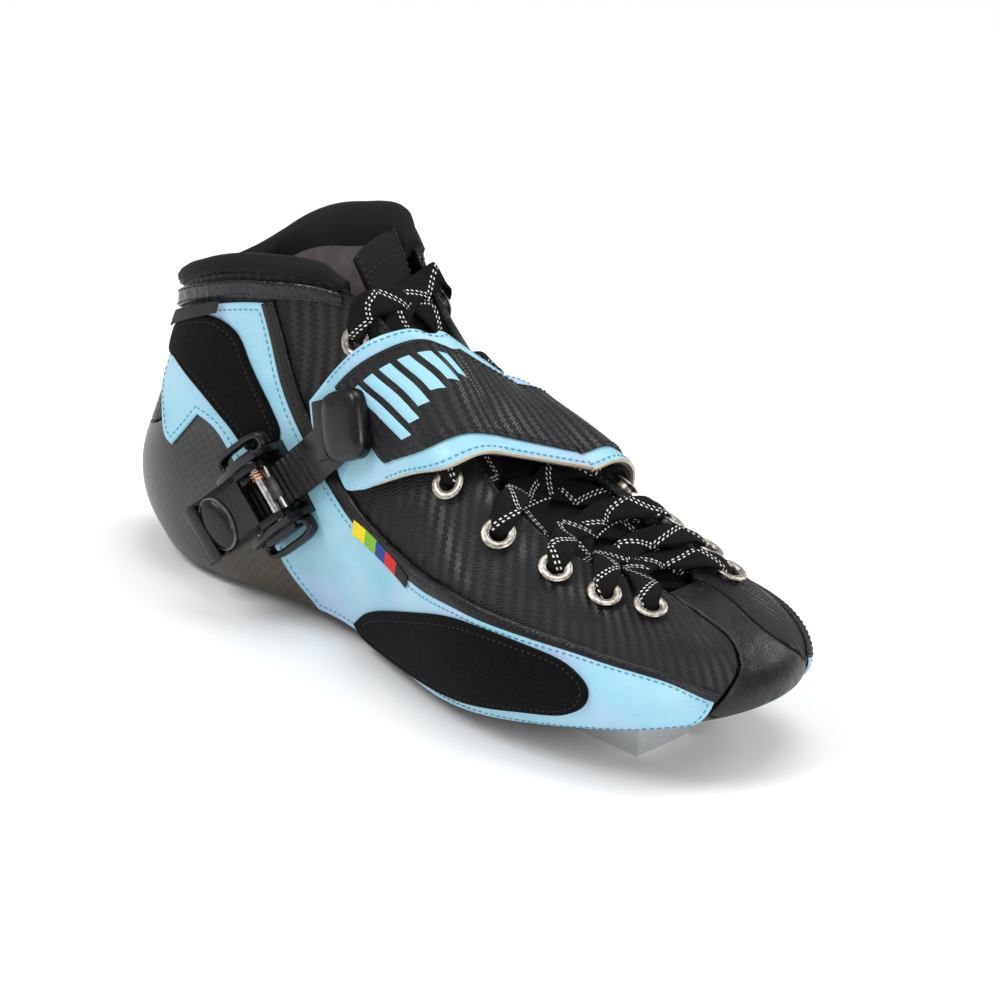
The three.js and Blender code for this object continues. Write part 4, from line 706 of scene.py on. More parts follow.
def moulded_nylon(name, dark, light, roughness):
    """Injection-moulded glass-filled nylon: black, low gloss, slightly uneven where it is handled."""
    f = Finish(name, roughness=roughness, Specular_IOR_Level=0.42)
    at = f.place()
    colour = f.add(NOISE, {"Vector": at, "Scale": 1 / 6.0})
    f.shade("Base Color", f.add(RAMP, colour, stops=[(0.3, dark), (0.75, light)]))
    gloss = f.add(NOISE, {"Vector": at, "Scale": 1 / 3.0, "Detail": 4.0})
    f.shade("Roughness", f.add(RAMP, gloss, stops=[(0.3, roughness - 0.06), (0.7, roughness + 0.14)]))
    relief = f.add(NOISE, {"Vector": at, "Scale": 1 / 0.35, "Detail": 3.0})
    f.shade("Normal", f.add(BUMP, {"Height": relief, "Distance": 0.02 * 0.001}))
    return f.material


def plated_metal(name, dark, light, roughness, scratch=2.0):
    """A plated or blasted metal part, with fine wear."""
    f = Finish(name, roughness=roughness, metallic=1.0)
    at = f.place()
    wear = f.add(NOISE, {"Vector": at, "Scale": 1 / scratch, "Detail": 5.0})
    f.shade("Base Color", f.add(RAMP, wear, stops=[(0.3, dark), (0.7, light)]))
    f.shade("Roughness", f.add(RAMP, wear, stops=[(0.3, roughness), (0.75, roughness + 0.22)]))
    relief = f.add(NOISE, {"Vector": at, "Scale": 1 / 0.5})
    f.shade("Normal", f.add(BUMP, {"Height": relief, "Distance": 0.015 * 0.001}))
    return f.material


def sewing_thread(name, colour, shade):
    """Bonded polyester thread, twisted."""
    f = Finish(name, roughness=0.6)
    first = f.add(NOISE, {"Vector": f.place(), "Scale": 1 / 0.8})
    f.shade("Base Color", f.add(RAMP, first, stops=[(0.3, shade), (0.7, colour)]))
    return f.material


def embroidery():
    """Satin-stitched bars: parallel threads 0.45 mm apart that catch the light, with painted shade between
    them.
    """
    colours = bpy.context.scene.boot_colours
    f = Finish("satin stitch", roughness=0.45, Sheen_Weight=0.3, Sheen_Roughness=0.4)
    x, y, _ = f.add(SPLIT, f.surface(), output=None).outputs
    thread = f.add(MATH, y, f.add(MATH, x, 0.35, operation="MULTIPLY"), operation="ADD")
    thread = f.add(MATH, thread, 0.225, operation="PINGPONG")
    # Painted shade: the grooves between the threads take the darker colour.
    colour = f.add(MATH, thread, 4.4, operation="MULTIPLY")
    f.shade("Base Color", f.add(RAMP, colour, stops=[(0.05, colours.bars_painted_shade), (0.7, colours.bars)]))
    f.shade("Normal", f.add(BUMP, {"Height": thread, "Distance": 0.3 * 0.001}))
    return f.material


TAB_START, TAB_END = 0.472, 0.55  # around, where the banded tab begins and ends


def banded_tape():
    """Woven tape in five bands: yellow, green, blue, red and black."""
    f = Finish("banded woven tape", roughness=0.7)
    x, y, _ = f.add(SPLIT, f.surface(), output=None).outputs
    bands = [(0.0, "#e8d21a"), (0.22, "#7fae2c"), (0.42, "#123f86"), (0.6, "#c81e20"), (0.8, "#141414")]
    share = f.add(MATH, x, TAB_START * ALONG_MM, operation="SUBTRACT")
    share = f.add(MATH, share, (TAB_END - TAB_START) * ALONG_MM, operation="DIVIDE")
    f.shade("Base Color", f.add(RAMP, share, stops=bands, stepped=True))
    relief = f.add(MATH, y, 0.3, operation="PINGPONG")
    f.shade("Normal", f.add(BUMP, {"Height": relief, "Distance": 0.15 * 0.001}))
    return f.material


def label_tape():
    """Black woven label with short dashes of pale thread where a label has its lines."""
    f = Finish("woven label tape", roughness=0.75)
    x, y, _ = f.add(SPLIT, f.surface(), output=None).outputs
    line = f.add(MATH, f.add(MATH, y, 3.1, operation="DIVIDE"), operation="FRACT")
    line = f.add(MATH, line, 0.42, operation="GREATER_THAN")
    line = f.add(MATH, line, 1.0, operation="MULTIPLY")
    dash = f.add(MATH, x, f.add(MATH, y, 0.7, operation="MULTIPLY"), operation="ADD")
    dash = f.add(MATH, dash, 3.4, operation="DIVIDE")
    dash = f.add(MATH, dash, operation="FRACT")
    dash = f.add(MATH, dash, 0.55, operation="LESS_THAN")
    field = f.add(MATH, y, 1.5, operation="GREATER_THAN")
    field = f.add(MATH, field, f.add(MATH, y, 7.0, operation="LESS_THAN"), operation="MULTIPLY")
    mark = f.add(MATH, f.add(MATH, line, dash, operation="MULTIPLY"), field, operation="MULTIPLY")
    f.shade(
        "Base Color",
        f.add(MIX, {FACTOR: mark, FIRST: "#141414", SECOND: "#c9c8c4"}, output=MIXED, data_type="RGBA"),
    )
    relief = f.add(MATH, x, 0.25, operation="PINGPONG")
    f.shade("Normal", f.add(BUMP, {"Height": relief, "Distance": 0.1 * 0.001}))
    return f.material


def printed_grey():
    """Screen-printed grey ink on the laminate."""
    f = Finish("grey screen ink", roughness=0.5)
    colour = f.add(NOISE, {"Vector": f.place(), "Scale": 1 / 0.8})
    f.shade("Base Color", f.add(RAMP, colour, stops=[(0.25, "#5c5c5a"), (0.6, "#9b9b99")]))
    return f.material


FINISHES = {}


def make_finishes():
    """Every material of the boot, by the name that the operators use."""
    colours = bpy.context.scene.boot_colours
    FINISHES.update(
        twill=woven_twill(), patent=crinkled_patent(), blue=pebbled_leather(), carbon=carbon_laminate(),
        felt=felt_pad(), neoprene=neoprene(),
        suede=microsuede("grey-brown microsuede", "#4a4142", "#6d6263"), hide=smooth_leather(),
        lace=flat_lace(), nylon=moulded_nylon("moulded black nylon", "#050506", "#0b0b0c", 0.24),
        ladder=moulded_nylon("ribbed nylon ladder", "#070708", "#0e0e0f", 0.3),
        # Light grey nylon, on the thumb plate's rim and the pawls' teeth.
        worn=moulded_nylon("worn nylon edge", "#3a3a38", "#6a6a67", 0.4),
        nickel=plated_metal("antiqued nickel plate", "#7c756c", "#d2cbc1", 0.28, 1.2),
        steel=plated_metal("bright steel pin", "#a7a5a1", "#d6d4d0", 0.2),
        aluminium=plated_metal("bead-blasted aluminium", "#c9ccce", "#e4e6e8", 0.5, 0.7),
        copper=plated_metal("coppered spring wire", "#9a6a4c", "#dcab86", 0.3),
        blue_thread=sewing_thread("teal bonded thread", colours.thread, colours.thread_shade),
        black_thread=sewing_thread("black bonded thread", "#1c1c1e", "#0b0b0c"),
        navy_thread=sewing_thread("dark blue bonded thread", "#22313f", "#141c26"), satin=embroidery(),
        bands=banded_tape(), label=label_tape(), ink=printed_grey(),
        cut_edge=microsuede("cut leather edge", "#b9ab90", "#d8ccb3"),
    )


# ---------------------------------------------------------------- geometry nodes
def new_tree(name, sockets):
    """A geometry tree with a geometry in and out, and named inputs for its sizes."""
    tree = bpy.data.node_groups.new(name, "GeometryNodeTree")
    tree.interface.new_socket("Geometry", in_out="INPUT", socket_type="NodeSocketGeometry")
    for label, kind in sockets:
        tree.interface.new_socket(label, in_out="INPUT", socket_type=kind)
    tree.interface.new_socket("Geometry", in_out="OUTPUT", socket_type="NodeSocketGeometry")
    return tree


def grow(name, tree, base, values):
    """Runs a geometry tree on a base mesh and returns the result as a plain mesh."""
    holder = bpy.data.objects.new(name + "_base", base)
    bpy.context.scene.collection.objects.link(holder)
    modifier = holder.modifiers.new("Grow", "NODES")
    modifier.node_group = tree
    for item in tree.interface.items_tree:
        if item.in_out == "INPUT" and item.name in values:
            modifier[item.identifier] = values[item.name]
    bpy.context.view_layer.update()
    shape = holder.evaluated_get(bpy.context.evaluated_depsgraph_get())
    mesh = bpy.data.meshes.new_from_object(shape)
    mesh.name = name
    bpy.data.objects.remove(holder)
    return mesh


def markers(name, points, run, out):
    """A mesh of single points that carry which way each repeated shape runs and faces."""
    mesh = bpy.data.meshes.new(name)
    mesh.from_pydata(to_frame(points).tolist(), [], [])
    for label, value in (("run", run), ("out", out)):
        attribute = mesh.attributes.new(label, "FLOAT_VECTOR", "POINT")
        attribute.data.foreach_set("vector", np.asarray(value, np.float32).ravel())
    return mesh


def spread(tree, shape, source):
    """Puts a shape on every marker, turned to its run and out, and makes it real with its finish."""
    turn = None
    for axis, label in (("X", "run"), ("Z", "out")):
        heading = add(tree, "GeometryNodeInputNamedAttribute", {"Name": label}, data_type="FLOAT_VECTOR")
        inputs = {"Vector": heading} if turn is None else {"Vector": heading, "Rotation": turn}
        pivot = "AUTO" if turn is None else "X"
        turn = add(tree, "FunctionNodeAlignRotationToVector", inputs, axis=axis, pivot_axis=pivot)
    spots = {"Points": source.outputs["Geometry"], "Instance": shape, "Rotation": turn}
    copies = add(tree, "GeometryNodeInstanceOnPoints", spots)
    real = add(tree, "GeometryNodeRealizeInstances", copies)
    smooth = add(tree, "GeometryNodeSetShadeSmooth", {"Geometry": real})
    finish = {"Geometry": smooth, "Material": source.outputs["Finish"]}
    done = add(tree, "GeometryNodeSetMaterial", finish)
    add(tree, "NodeGroupOutput", {"Geometry": done}, output=None)


def stitch_tree():
    """One stitch at each marker: a short round-ended thread."""
    sockets = [
        ("Length", "NodeSocketFloat"), ("Thickness", "NodeSocketFloat"), ("Finish", "NodeSocketMaterial"),
    ]
    tree = new_tree("Stitches", sockets)
    source = add(tree, "NodeGroupInput", output=None)
    length, thickness = source.outputs["Length"], source.outputs["Thickness"]
    bead = add(tree, "GeometryNodeMeshUVSphere", {"Segments": 6, "Rings": 5, "Radius": 0.5})
    size = add(tree, "ShaderNodeCombineXYZ", length, thickness, thickness)
    thread = add(tree, "GeometryNodeTransform", {"Geometry": bead, "Scale": size})
    spread(tree, thread, source)
    return tree


def eyelet_tree():
    """An eyelet at each marker: a domed flange and a barrel through the leather."""
    sockets = [("Radius", "NodeSocketFloat"), ("Hole", "NodeSocketFloat"), ("Finish", "NodeSocketMaterial")]
    tree = new_tree("Eyelets", sockets)
    source = add(tree, "NodeGroupInput", output=None)
    radius, hole = source.outputs["Radius"], source.outputs["Hole"]
    middle = add(tree, MATH, radius, hole, operation="ADD")
    middle = add(tree, MATH, middle, 0.5, operation="MULTIPLY")
    half = add(tree, MATH, radius, middle, operation="SUBTRACT")
    parts = []
    flange = (middle, half, 0.0012, (1, 0.42, 1))
    barrel = (hole, 0.00035, -0.0002, (1, 4.6, 1))
    for centre, width, lift, stretch in (flange, barrel):
        ring = add(tree, "GeometryNodeCurvePrimitiveCircle", {"Resolution": 40, "Radius": centre})
        section = add(tree, "GeometryNodeCurvePrimitiveCircle", {"Resolution": 12, "Radius": width})
        section = add(tree, "GeometryNodeTransform", {"Geometry": section, "Scale": stretch})
        tube = add(tree, "GeometryNodeCurveToMesh", {"Curve": ring, "Profile Curve": section})
        parts.append(add(tree, "GeometryNodeTransform", {"Geometry": tube, "Translation": (0, 0, lift)}))
    spread(tree, add(tree, "GeometryNodeJoinGeometry", parts), source)
    return tree


def sew(name, path, out, thread, pitch=3.0, body="boot", replaces=()):
    """A row of stitches along a path of points, thread-thin and lying on the surface."""
    run = np.concatenate([[0], np.cumsum(np.linalg.norm(np.diff(path, axis=0), axis=1))])
    at = np.arange(pitch / 2, run[-1], pitch)
    spots = np.stack([np.interp(at, run, path[:, k]) for k in range(3)], -1)
    ahead = np.stack([np.interp(at + 0.6, run, path[:, k]) for k in range(3)], -1)
    behind = np.stack([np.interp(at - 0.6, run, path[:, k]) for k in range(3)], -1)
    facing = unit(np.stack([np.interp(at, run, out[:, k]) for k in range(3)], -1))
    sizes = bpy.context.scene.boot_stitching
    length = pitch * sizes.stitch_share * 0.001
    values = {"Length": length, "Thickness": sizes.thread, "Finish": FINISHES[thread]}
    tree = bpy.data.node_groups.get("Stitches") or stitch_tree()
    mesh = grow(name, tree, markers(name + "_spots", spots, unit(ahead - behind), facing), values)
    return settle(mesh, name, body, None, None, replaces, 180)


# ---------------------------------------------------------------- shell and upper
BACK_SEAM = 0.004
SEAM_GAP = 0.6 / ALONG_MM
EYELETS = [
    (0.853, 0.735), (0.785, 0.715), (0.72, 0.7), (0.653, 0.665), (0.585, 0.64), (0.515, 0.71),
    (0.447, 0.81),
]


def make_shell():
    """The moulded carbon shell: walls up to its rim, and a sole that bulges below its edge."""
    around = np.linspace(0, 2, 241)[:-1]
    side = np.where(around <= 1, around, 2 - around)
    rim = SHELL_RIM(side)
    walls = [on_skin(around, rim * k, np.zeros_like(around)) for k in np.linspace(1, 0, 15)]
    edge = walls[-1]
    spine = edge[(-np.arange(len(edge))) % len(edge)]
    shares = [0.03, 0.1, 0.2, 0.32, 0.42, 0.5]
    belly = [mix(edge, spine, s) - np.array([0, 0, BELLY]) * (1 - (1 - 2 * s) ** 2) ** 0.5 for s in shares]
    inner = [on_skin(around, rim * k, np.full_like(around, -WALL)) for k in np.linspace(0, 1, 15)]
    floor = inner[0]
    back = floor[(-np.arange(len(floor))) % len(floor)]
    lift = [
        mix(floor, back, s) - np.array([0, 0, BELLY]) * (1 - (1 - 2 * s) ** 2) ** 0.5
        for s in reversed(shares)
    ]
    rings = walls + belly + lift + inner
    n = len(around)
    faces = []
    for j in range(len(rings)):
        k = (j + 1) % len(rings)
        for i in range(n):
            a = (i + 1) % n
            faces.append((j * n + i, j * n + a, k * n + a, k * n + i))
    ups = [rim * k for k in np.linspace(1, 0, 15)] + [np.full(n, -0.1 * (i + 1)) for i in range(6)]
    ups += [np.full(n, -0.1 * (6 - i)) for i in range(6)] + [rim * k for k in np.linspace(0, 1, 15)]
    uv = np.concatenate([np.stack([side * ALONG_MM, up * UP_MM], -1) for up in ups])
    made = piece(
        "shell", np.concatenate(rings), faces, uv, slot="carbon", finish="carbon",
        replaces=["carbon_shell"], sharp=50,
    )
    work = bmesh.new()
    work.from_mesh(made.data)
    bmesh.ops.remove_doubles(work, verts=work.verts, dist=1e-6)
    work.to_mesh(made.data)
    work.free()
    return face_out(made)


def for_side(medial, flat):
    return mirrored(flat) if medial else flat


def quarter_outline():
    """Along the shell's rim to the toe, up the toe seam, back along the throat and down the heel."""
    start, lift = BACK_SEAM, 1.6 * GAP / TOE_UP_MM
    toe = TOE_SEAM(0.14) - SEAM_GAP
    low = [(s, SHELL_RIM(s) + lift) for s in np.linspace(start, toe, 70)]
    seam = [(TOE_SEAM(u) - SEAM_GAP, u) for u in np.linspace(0.17, 0.9, 16)]
    last = seam[-1][0]
    throat = [(s, THROAT_EDGE(s)) for s in np.linspace(last, start, 90)]
    back = [(start, u) for u in np.linspace(0.97, SHELL_RIM(start) + 0.04, 12)]
    return np.array([(float(a), float(b)) for a, b in low + seam + throat + back]) * MAP_MM


def eyelet_hole(around, up, radius):
    """A round hole in flat millimetres, allowing for how the map stretches there."""
    h = 0.004
    ahead = last_point(around + h, up) - last_point(around - h, up)
    above = last_point(around, up + h) - last_point(around, up - h)
    along = float(np.linalg.norm(ahead)) / (2 * h * ALONG_MM)
    rise = float(np.linalg.norm(above)) / (2 * h * UP_MM)
    turn = np.linspace(0, 2 * np.pi, 25)[:-1]
    x = around * ALONG_MM + radius / along * np.cos(turn)
    y = up * UP_MM + radius / rise * np.sin(turn)
    return np.stack([x, y], -1)


def stitched_edge(name, outline_mm, distance, height, thread, pitch=3.0):
    """A row of stitches at a distance inside an outline."""
    ring = inset(anticlockwise(outline_mm), distance)
    ring = np.concatenate([ring, ring[:1]])
    path = over_last(ring, np.full(len(ring), height))
    out = last_normal(ring[:, 0] / ALONG_MM, ring[:, 1] / UP_MM)
    return sew(name, path, out, thread, pitch)


def make_quarters():
    """Both quarters with their eyelet holes, the sewing along the throat, and the toe cap."""
    base = quarter_outline()
    for medial in (False, True):
        word = "medial" if medial else "lateral"
        holes = [for_side(medial, eyelet_hole(a, u, 3.9)) for a, u in EYELETS]
        cut_sheet(
            "upper_" + word, for_side(medial, base), -WALL, 0, over_last, holes, slot="twill",
            finish="twill", replaces=["quarter_" + word],
        )
        edge = [(s, THROAT_EDGE(s) - 0.028) for s in np.linspace(0.45, 0.93, 90)]
        edge = for_side(medial, np.array([(float(a), float(b)) for a, b in edge]) * MAP_MM)
        path = over_last(edge, np.full(len(edge), 0.1))
        out = last_normal(edge[:, 0] / ALONG_MM, edge[:, 1] / UP_MM)
        sew("throat_stitches_" + word, path, out, "navy_thread", 2.6)
    toe = []
    for sign in (-1, 1):
        levels = np.linspace(0.17, 0.92, 14)
        side = [(1 + sign * float(1 - TOE_SEAM(u) - SEAM_GAP), float(u)) for u in levels]
        toe += side if sign < 0 else side[::-1]
    bottom = [
        (s, float(SHELL_RIM(min(s, 2 - s))) + 1.6 * GAP / TOE_UP_MM)
        for s in np.linspace(toe[-1][0], toe[0][0], 12)[1:-1]
    ]
    flat = np.array(toe + bottom) * MAP_MM
    cut_sheet(
        "toe_leather", flat, -WALL, 0, over_last, spacing=2.4, slot="smooth_leather",
        finish="hide", replaces=["toe_cap"],
    )


# ---------------------------------------------------------------- panels and pads
SIDE_PANEL = [
    [
        (0.34, 0.915), (0.365, 0.69), (0.4, 0.51), (0.435, 0.385), (0.475, 0.305), (0.55, 0.29), (0.62, 0.35),
        (0.69, 0.395), (0.76, 0.42), (0.845, 0.39), (0.905, 0.28),
    ],
    [(0.905, 0.28), (0.9, 0.2), (0.888, 0.11)],
    [(0.888, 0.11), (0.78, 0.07), (0.69, 0.02), (0.6, 0.0)],
    [(0.6, 0.0), (0.5, 0.0), (0.42, 0.0)],
    [(0.42, 0.0), (0.395, 0.08), (0.375, 0.2), (0.35, 0.33), (0.32, 0.43), (0.29, 0.5), (0.263, 0.53)],
    [(0.263, 0.53), (0.235, 0.41)],
    [(0.235, 0.41), (0.215, 0.43), (0.175, 0.53), (0.125, 0.65), (0.12, 0.78), (0.155, 0.885)],
    [(0.155, 0.885), (0.25, 0.905), (0.34, 0.915)],
]
ANKLE_PAD = [
    [
        (0.125, 0.77), (0.15, 0.84), (0.2, 0.865), (0.26, 0.87), (0.3, 0.82), (0.325, 0.72), (0.36, 0.59),
        (0.375, 0.51), (0.37, 0.46), (0.345, 0.45), (0.31, 0.52), (0.255, 0.62), (0.19, 0.7), (0.14, 0.73),
        (0.125, 0.77),
    ],
]
FOREFOOT_PAD = [
    [
        (0.472, 0.03), (0.49, 0.09), (0.55, 0.2), (0.625, 0.325), (0.69, 0.365), (0.735, 0.36), (0.76, 0.3),
        (0.76, 0.22), (0.74, 0.155), (0.69, 0.11), (0.63, 0.055), (0.54, 0.01), (0.485, 0.005), (0.472, 0.03),
    ],
]
LABEL_LOW = PAD_HIGH + 0.15
TAB = [(TAB_START, 0.315), (TAB_END, 0.292), (TAB_END, 0.262), (TAB_START, 0.278)]
LABEL = [(0.125, 0.83), (0.275, 0.885), (0.28, 0.925), (0.17, 0.9)]


def make_side_panels():
    """The pale blue side panels, sewn near their edges, with a black binding along the top."""
    base = outline(SIDE_PANEL)
    for medial in (False, True):
        word = "medial" if medial else "lateral"
        flat = for_side(medial, base)
        cut_sheet(
            "side_leather_" + word, flat, OVERLAY_LOW, OVERLAY_HIGH, over_last, slot="blue_leather",
            finish="blue", replaces=["side_panel_" + word],
        )
        stitched_edge("side_stitches_" + word, flat, 2.0, OVERLAY_HIGH + 0.05, "blue_thread", 2.5)
        top = smooth_run(np.array(SIDE_PANEL[0]) * MAP_MM, 1.6)
        ahead = unit(np.gradient(top, axis=0))
        below = top + np.stack([-ahead[:, 1], ahead[:, 0]], -1) * 3.2
        above = top - np.stack([-ahead[:, 1], ahead[:, 0]], -1) * 0.9
        band = for_side(medial, np.concatenate([above, below[::-1]]))
        cut_sheet(
            "binding_" + word, band, OVERLAY_LOW, OVERLAY_HIGH + 0.55, over_last, spacing=2.2,
            slot="smooth_leather", finish="hide",
        )
        line = for_side(medial, top + np.stack([-ahead[:, 1], ahead[:, 0]], -1) * 1.1)
        path = over_last(line, np.full(len(line), OVERLAY_HIGH + 0.6))
        sew(
            "binding_stitches_" + word, path, last_normal(line[:, 0] / ALONG_MM, line[:, 1] / UP_MM),
            "black_thread", 2.4,
        )


def make_pads():
    """Felt wear pads on the ankle and the forefoot, each with a sewn groove round it."""
    for medial in (False, True):
        word = "medial" if medial else "lateral"
        for place_name, runs in (("ankle", ANKLE_PAD), ("forefoot", FOREFOOT_PAD)):
            flat = for_side(medial, outline(runs))
            cut_sheet(
                place_name + "_felt_" + word, flat, PAD_LOW, PAD_HIGH, over_last, edge=TURNED_EDGE,
                spacing=2.4, slot="felt", finish="felt", replaces=[place_name + "_pad_" + word],
            )
            stitched_edge(place_name + "_stitches_" + word, flat, 2.1, PAD_HIGH - 0.3, "black_thread", 2.2)


def make_labels():
    """The woven label on the ankle and the banded tab beside the strap."""
    for name, corners, height, node, finish in (
        ("ankle_label", LABEL, LABEL_LOW, "woven_label", "label"),
        ("banded_tab", TAB, OVERLAY_HIGH + 0.6, "colour_tab", "bands"),
    ):
        flat = outline([[corners[k], corners[(k + 1) % 4]] for k in range(4)])
        cut_sheet(
            name, flat, height, height + 0.6, over_last, spacing=1.6, slot="label", finish=finish,
            replaces=[node],
        )


def make_heel_print():
    """Slanted printed bars on the shell by the heel."""
    for i in range(4):
        x, y = 22 + 3.4 * i, 17.0 - 1.2 * i
        bar = np.array([(x, y), (x + 1.7, y), (x + 3.2, y + 9 - 1.5 * i), (x + 1.5, y + 9 - 1.5 * i)])
        cut_sheet(
            f"heel_bar_{i + 1}", bar, 0.02, 0.1, over_last, edge=((0, 0.5), (0.2, 1.0)), spacing=1.5,
            slot="carbon", finish="ink",
        )


# ---------------------------------------------------------------- collar and lining
COLLAR_FRONT = 0.43
FACING_LOW = curve([[-COLLAR_FRONT, 0.93], [-0.3, 0.92], [0, 0.9], [0.28, 0.93], [COLLAR_FRONT, 0.935]])
FOAM_OUT = -(WALL + 2 * GAP)
FOAM_IN = FOAM_OUT - FOAM
LINING_OUT = FOAM_IN - 2 * GAP
LINING_IN = LINING_OUT - LINING
CUFF_SECTION = [
    (1.0, 2.1, 1.6), (1.0, 2.6, 3.4), (1.0, 1.2, 6.0), (1.0, -1.8, 7.4), (1.0, -5.0, 6.2), (1.0, -7.2, 3.0),
    (0.95, -8.2, 0), (0.86, -8.0, 0), (0.76, -7.7, 0), (0.76, LINING_OUT, 0), (0.86, LINING_OUT, 0),
    (0.96, LINING_OUT, 0), (0.97, -3.4, 1.6), (1.0, -2.2, 1.6), (1.0, 0, 1.6),
]


def puff(made, reach):
    """Swells a padded piece with air pressure in a cloth run, and moves no point over reach millimetres."""
    start = np.array([v.co[:] for v in made.data.vertices])
    work = made.copy()
    work.data = made.data.copy()
    bpy.context.scene.collection.objects.link(work)
    cloth = work.modifiers.new("Swell", "CLOTH")
    cloth.settings.use_pressure = True
    cloth.settings.uniform_pressure_force = 4.0
    cloth.settings.mass = 0.3
    cloth.settings.effector_weights.gravity = 0
    cloth.point_cache.frame_start, cloth.point_cache.frame_end = 1, 12
    for frame_number in range(1, 13):
        bpy.context.scene.frame_set(frame_number)
    shape = work.evaluated_get(bpy.context.evaluated_depsgraph_get()).to_mesh()
    moved = np.array([v.co[:] for v in shape.vertices]) - start
    bpy.data.objects.remove(work)
    bpy.context.scene.frame_set(1)
    length = np.linalg.norm(moved, axis=1, keepdims=True)
    moved *= np.minimum(1, reach * 0.001 / np.maximum(length, 1e-9))
    made.data.vertices.foreach_set("co", (start + moved).astype(np.float32).ravel())
    made.data.update()


def lofted(name, rings, closed_ends=True, **settings):
    """A tube through closed rings of points, with flat ends."""
    n = len(rings[0])
    faces = []
    for j in range(len(rings) - 1):
        for i in range(n):
            a = (i + 1) % n
            faces.append((j * n + i, j * n + a, (j + 1) * n + a, (j + 1) * n + i))
    if closed_ends:
        last = (len(rings) - 1) * n
        faces += [tuple(range(n))[::-1], tuple(last + i for i in range(n))]
    return face_out(piece(name, np.concatenate(rings), faces, **settings))


def make_collar():
    """The soft rolled cuff round the ankle and its shiny facing outside."""
    section = smooth_run(np.array(CUFF_SECTION + CUFF_SECTION[:1]) * np.array([90.0, 1.0, 1.0]), 2.2)[:-1]
    rings = []
    for turn in np.linspace(-COLLAR_FRONT, COLLAR_FRONT, 141):
        shrink = 1 - 0.28 * ease(COLLAR_FRONT - 0.03, COLLAR_FRONT, abs(turn))
        ups = np.clip(section[:, 0] / 90.0, 0, 1)
        p = on_last(np.full(len(section), turn), ups, section[:, 1])
        p[:, 2] += section[:, 2]
        middle = p.mean(0)
        rings.append(middle + (p - middle) * shrink)
    made = lofted(
        "rolled_cuff", rings, slot="neoprene", finish="neoprene", replaces=["collar_cuff"], sharp=60
    )
    puff(made, 0.4)
    u = np.linspace(-COLLAR_FRONT, COLLAR_FRONT, 161)
    v = np.linspace(0, 1, 9)
    up = FACING_LOW(u)[None] * (1 - v[:, None]) + 0.985 * v[:, None]
    grid = on_last(np.broadcast_to(u, up.shape), up, np.full(up.shape, 0.9))
    normal = last_normal(np.broadcast_to(u, up.shape), up)
    uv = np.stack([np.broadcast_to(u * ALONG_MM, up.shape), up * UP_MM], -1)
    grid_sheet(
        "collar_leather", grid, normal, 0, 1.0, uv, slot="twill", finish="patent",
        replaces=["collar_facing"],
    )
    for k, level in enumerate((0.14, 0.86)):
        row = on_last(u, FACING_LOW(u) * (1 - level) + 0.985 * level, np.full(len(u), 1.95))
        sew(f"collar_stitches_{k + 1}", row, last_normal(u, FACING_LOW(u)), "black_thread", 2.2)


def wrap(name, front, low, high, up_low, up_high, finish, slot, node, padded=0.0):
    """A layer that follows the inside of the last round the heel, from one front edge to the other."""
    u = np.linspace(-front, front, 121)
    v = np.linspace(up_low, up_high, 41)
    turn, up = np.broadcast_arrays(u[None], v[:, None])
    grid = on_last(turn, up, np.full(turn.shape, low))
    normal = last_normal(turn, up)
    uv = np.stack([turn * ALONG_MM, up * UP_MM], -1)
    made = grid_sheet(
        name, grid, normal, 0, high - low, uv, slot=slot, finish=finish, replaces=[node] if node else []
    )
    if padded:
        puff(made, 0.6)
    return made


def make_lining():
    """Inside the boot: the foam ankle padding, the suede heel lining and the footbed."""
    wrap("heel_foam", 0.4, FOAM_IN, FOAM_OUT, 0.17, 0.95, "felt", "felt", "ankle_padding", 0.5)
    wrap("collar_suede", 0.42, -9.3, -8.8, 0.5, 0.93, "suede", "suede", None)
    wrap("heel_suede", 0.4, LINING_IN, LINING_OUT, 0.19, 0.75, "suede", "suede", "heel_lining")
    turn = np.linspace(0.02, 0.98, 81)
    v = np.linspace(0, 1, 17)
    floor = last_point(turn, 0.0)[:, 2] + WALL + GAP * 4
    left = on_last(turn, np.zeros_like(turn), np.full(len(turn), -7.0))
    right = on_last(2 - turn, np.zeros_like(turn), np.full(len(turn), -7.0))
    for row in (left, right):
        row[:, 2] = floor
    grid = left[None] * (1 - v[:, None, None]) + right[None] * v[:, None, None]
    normal = np.broadcast_to(np.array([0, 0, 1.0]), grid.shape)
    uv = np.stack(np.broadcast_arrays(turn[None] * ALONG_MM, v[:, None] * 80), -1)
    grid_sheet("insole", grid, normal, 0, 3.0, uv, slot="suede", finish="suede", replaces=["footbed"])


# ---------------------------------------------------------------- tongue
TONGUE_OUT = -5.3
TONGUE_THICK = 3.4
TONGUE_REACH = curve([[0.43, 0.5], [0.49, 0.8], [0.54, 1.2], [0.8, 1.2], [0.93, 1.05]])


def tongue_grid(off):
    """The tongue's surface at a height over the instep, from its free top to its sewn end."""
    u = np.linspace(0, 1, 81)
    v = np.linspace(0, 1, 41)
    along = mix(0.43, 0.93, u)
    reach = TONGUE_REACH(along)
    across = -reach[None] * (1 - v[:, None]) + reach[None] * v[:, None]
    wide = np.broadcast_to(along[None], across.shape)
    grid = on_instep(wide, across, np.full(across.shape, off))
    grid[..., 2] += 5 * np.maximum(0, 1 - u * 14)[None]
    normal = unit(
        (
            on_instep(wide, across, np.full(across.shape, off + 1.0))
            - on_instep(wide, across, np.full(across.shape, off))
        ),
    )
    return grid, normal, np.stack([wide * ALONG_MM, across * 60], -1)


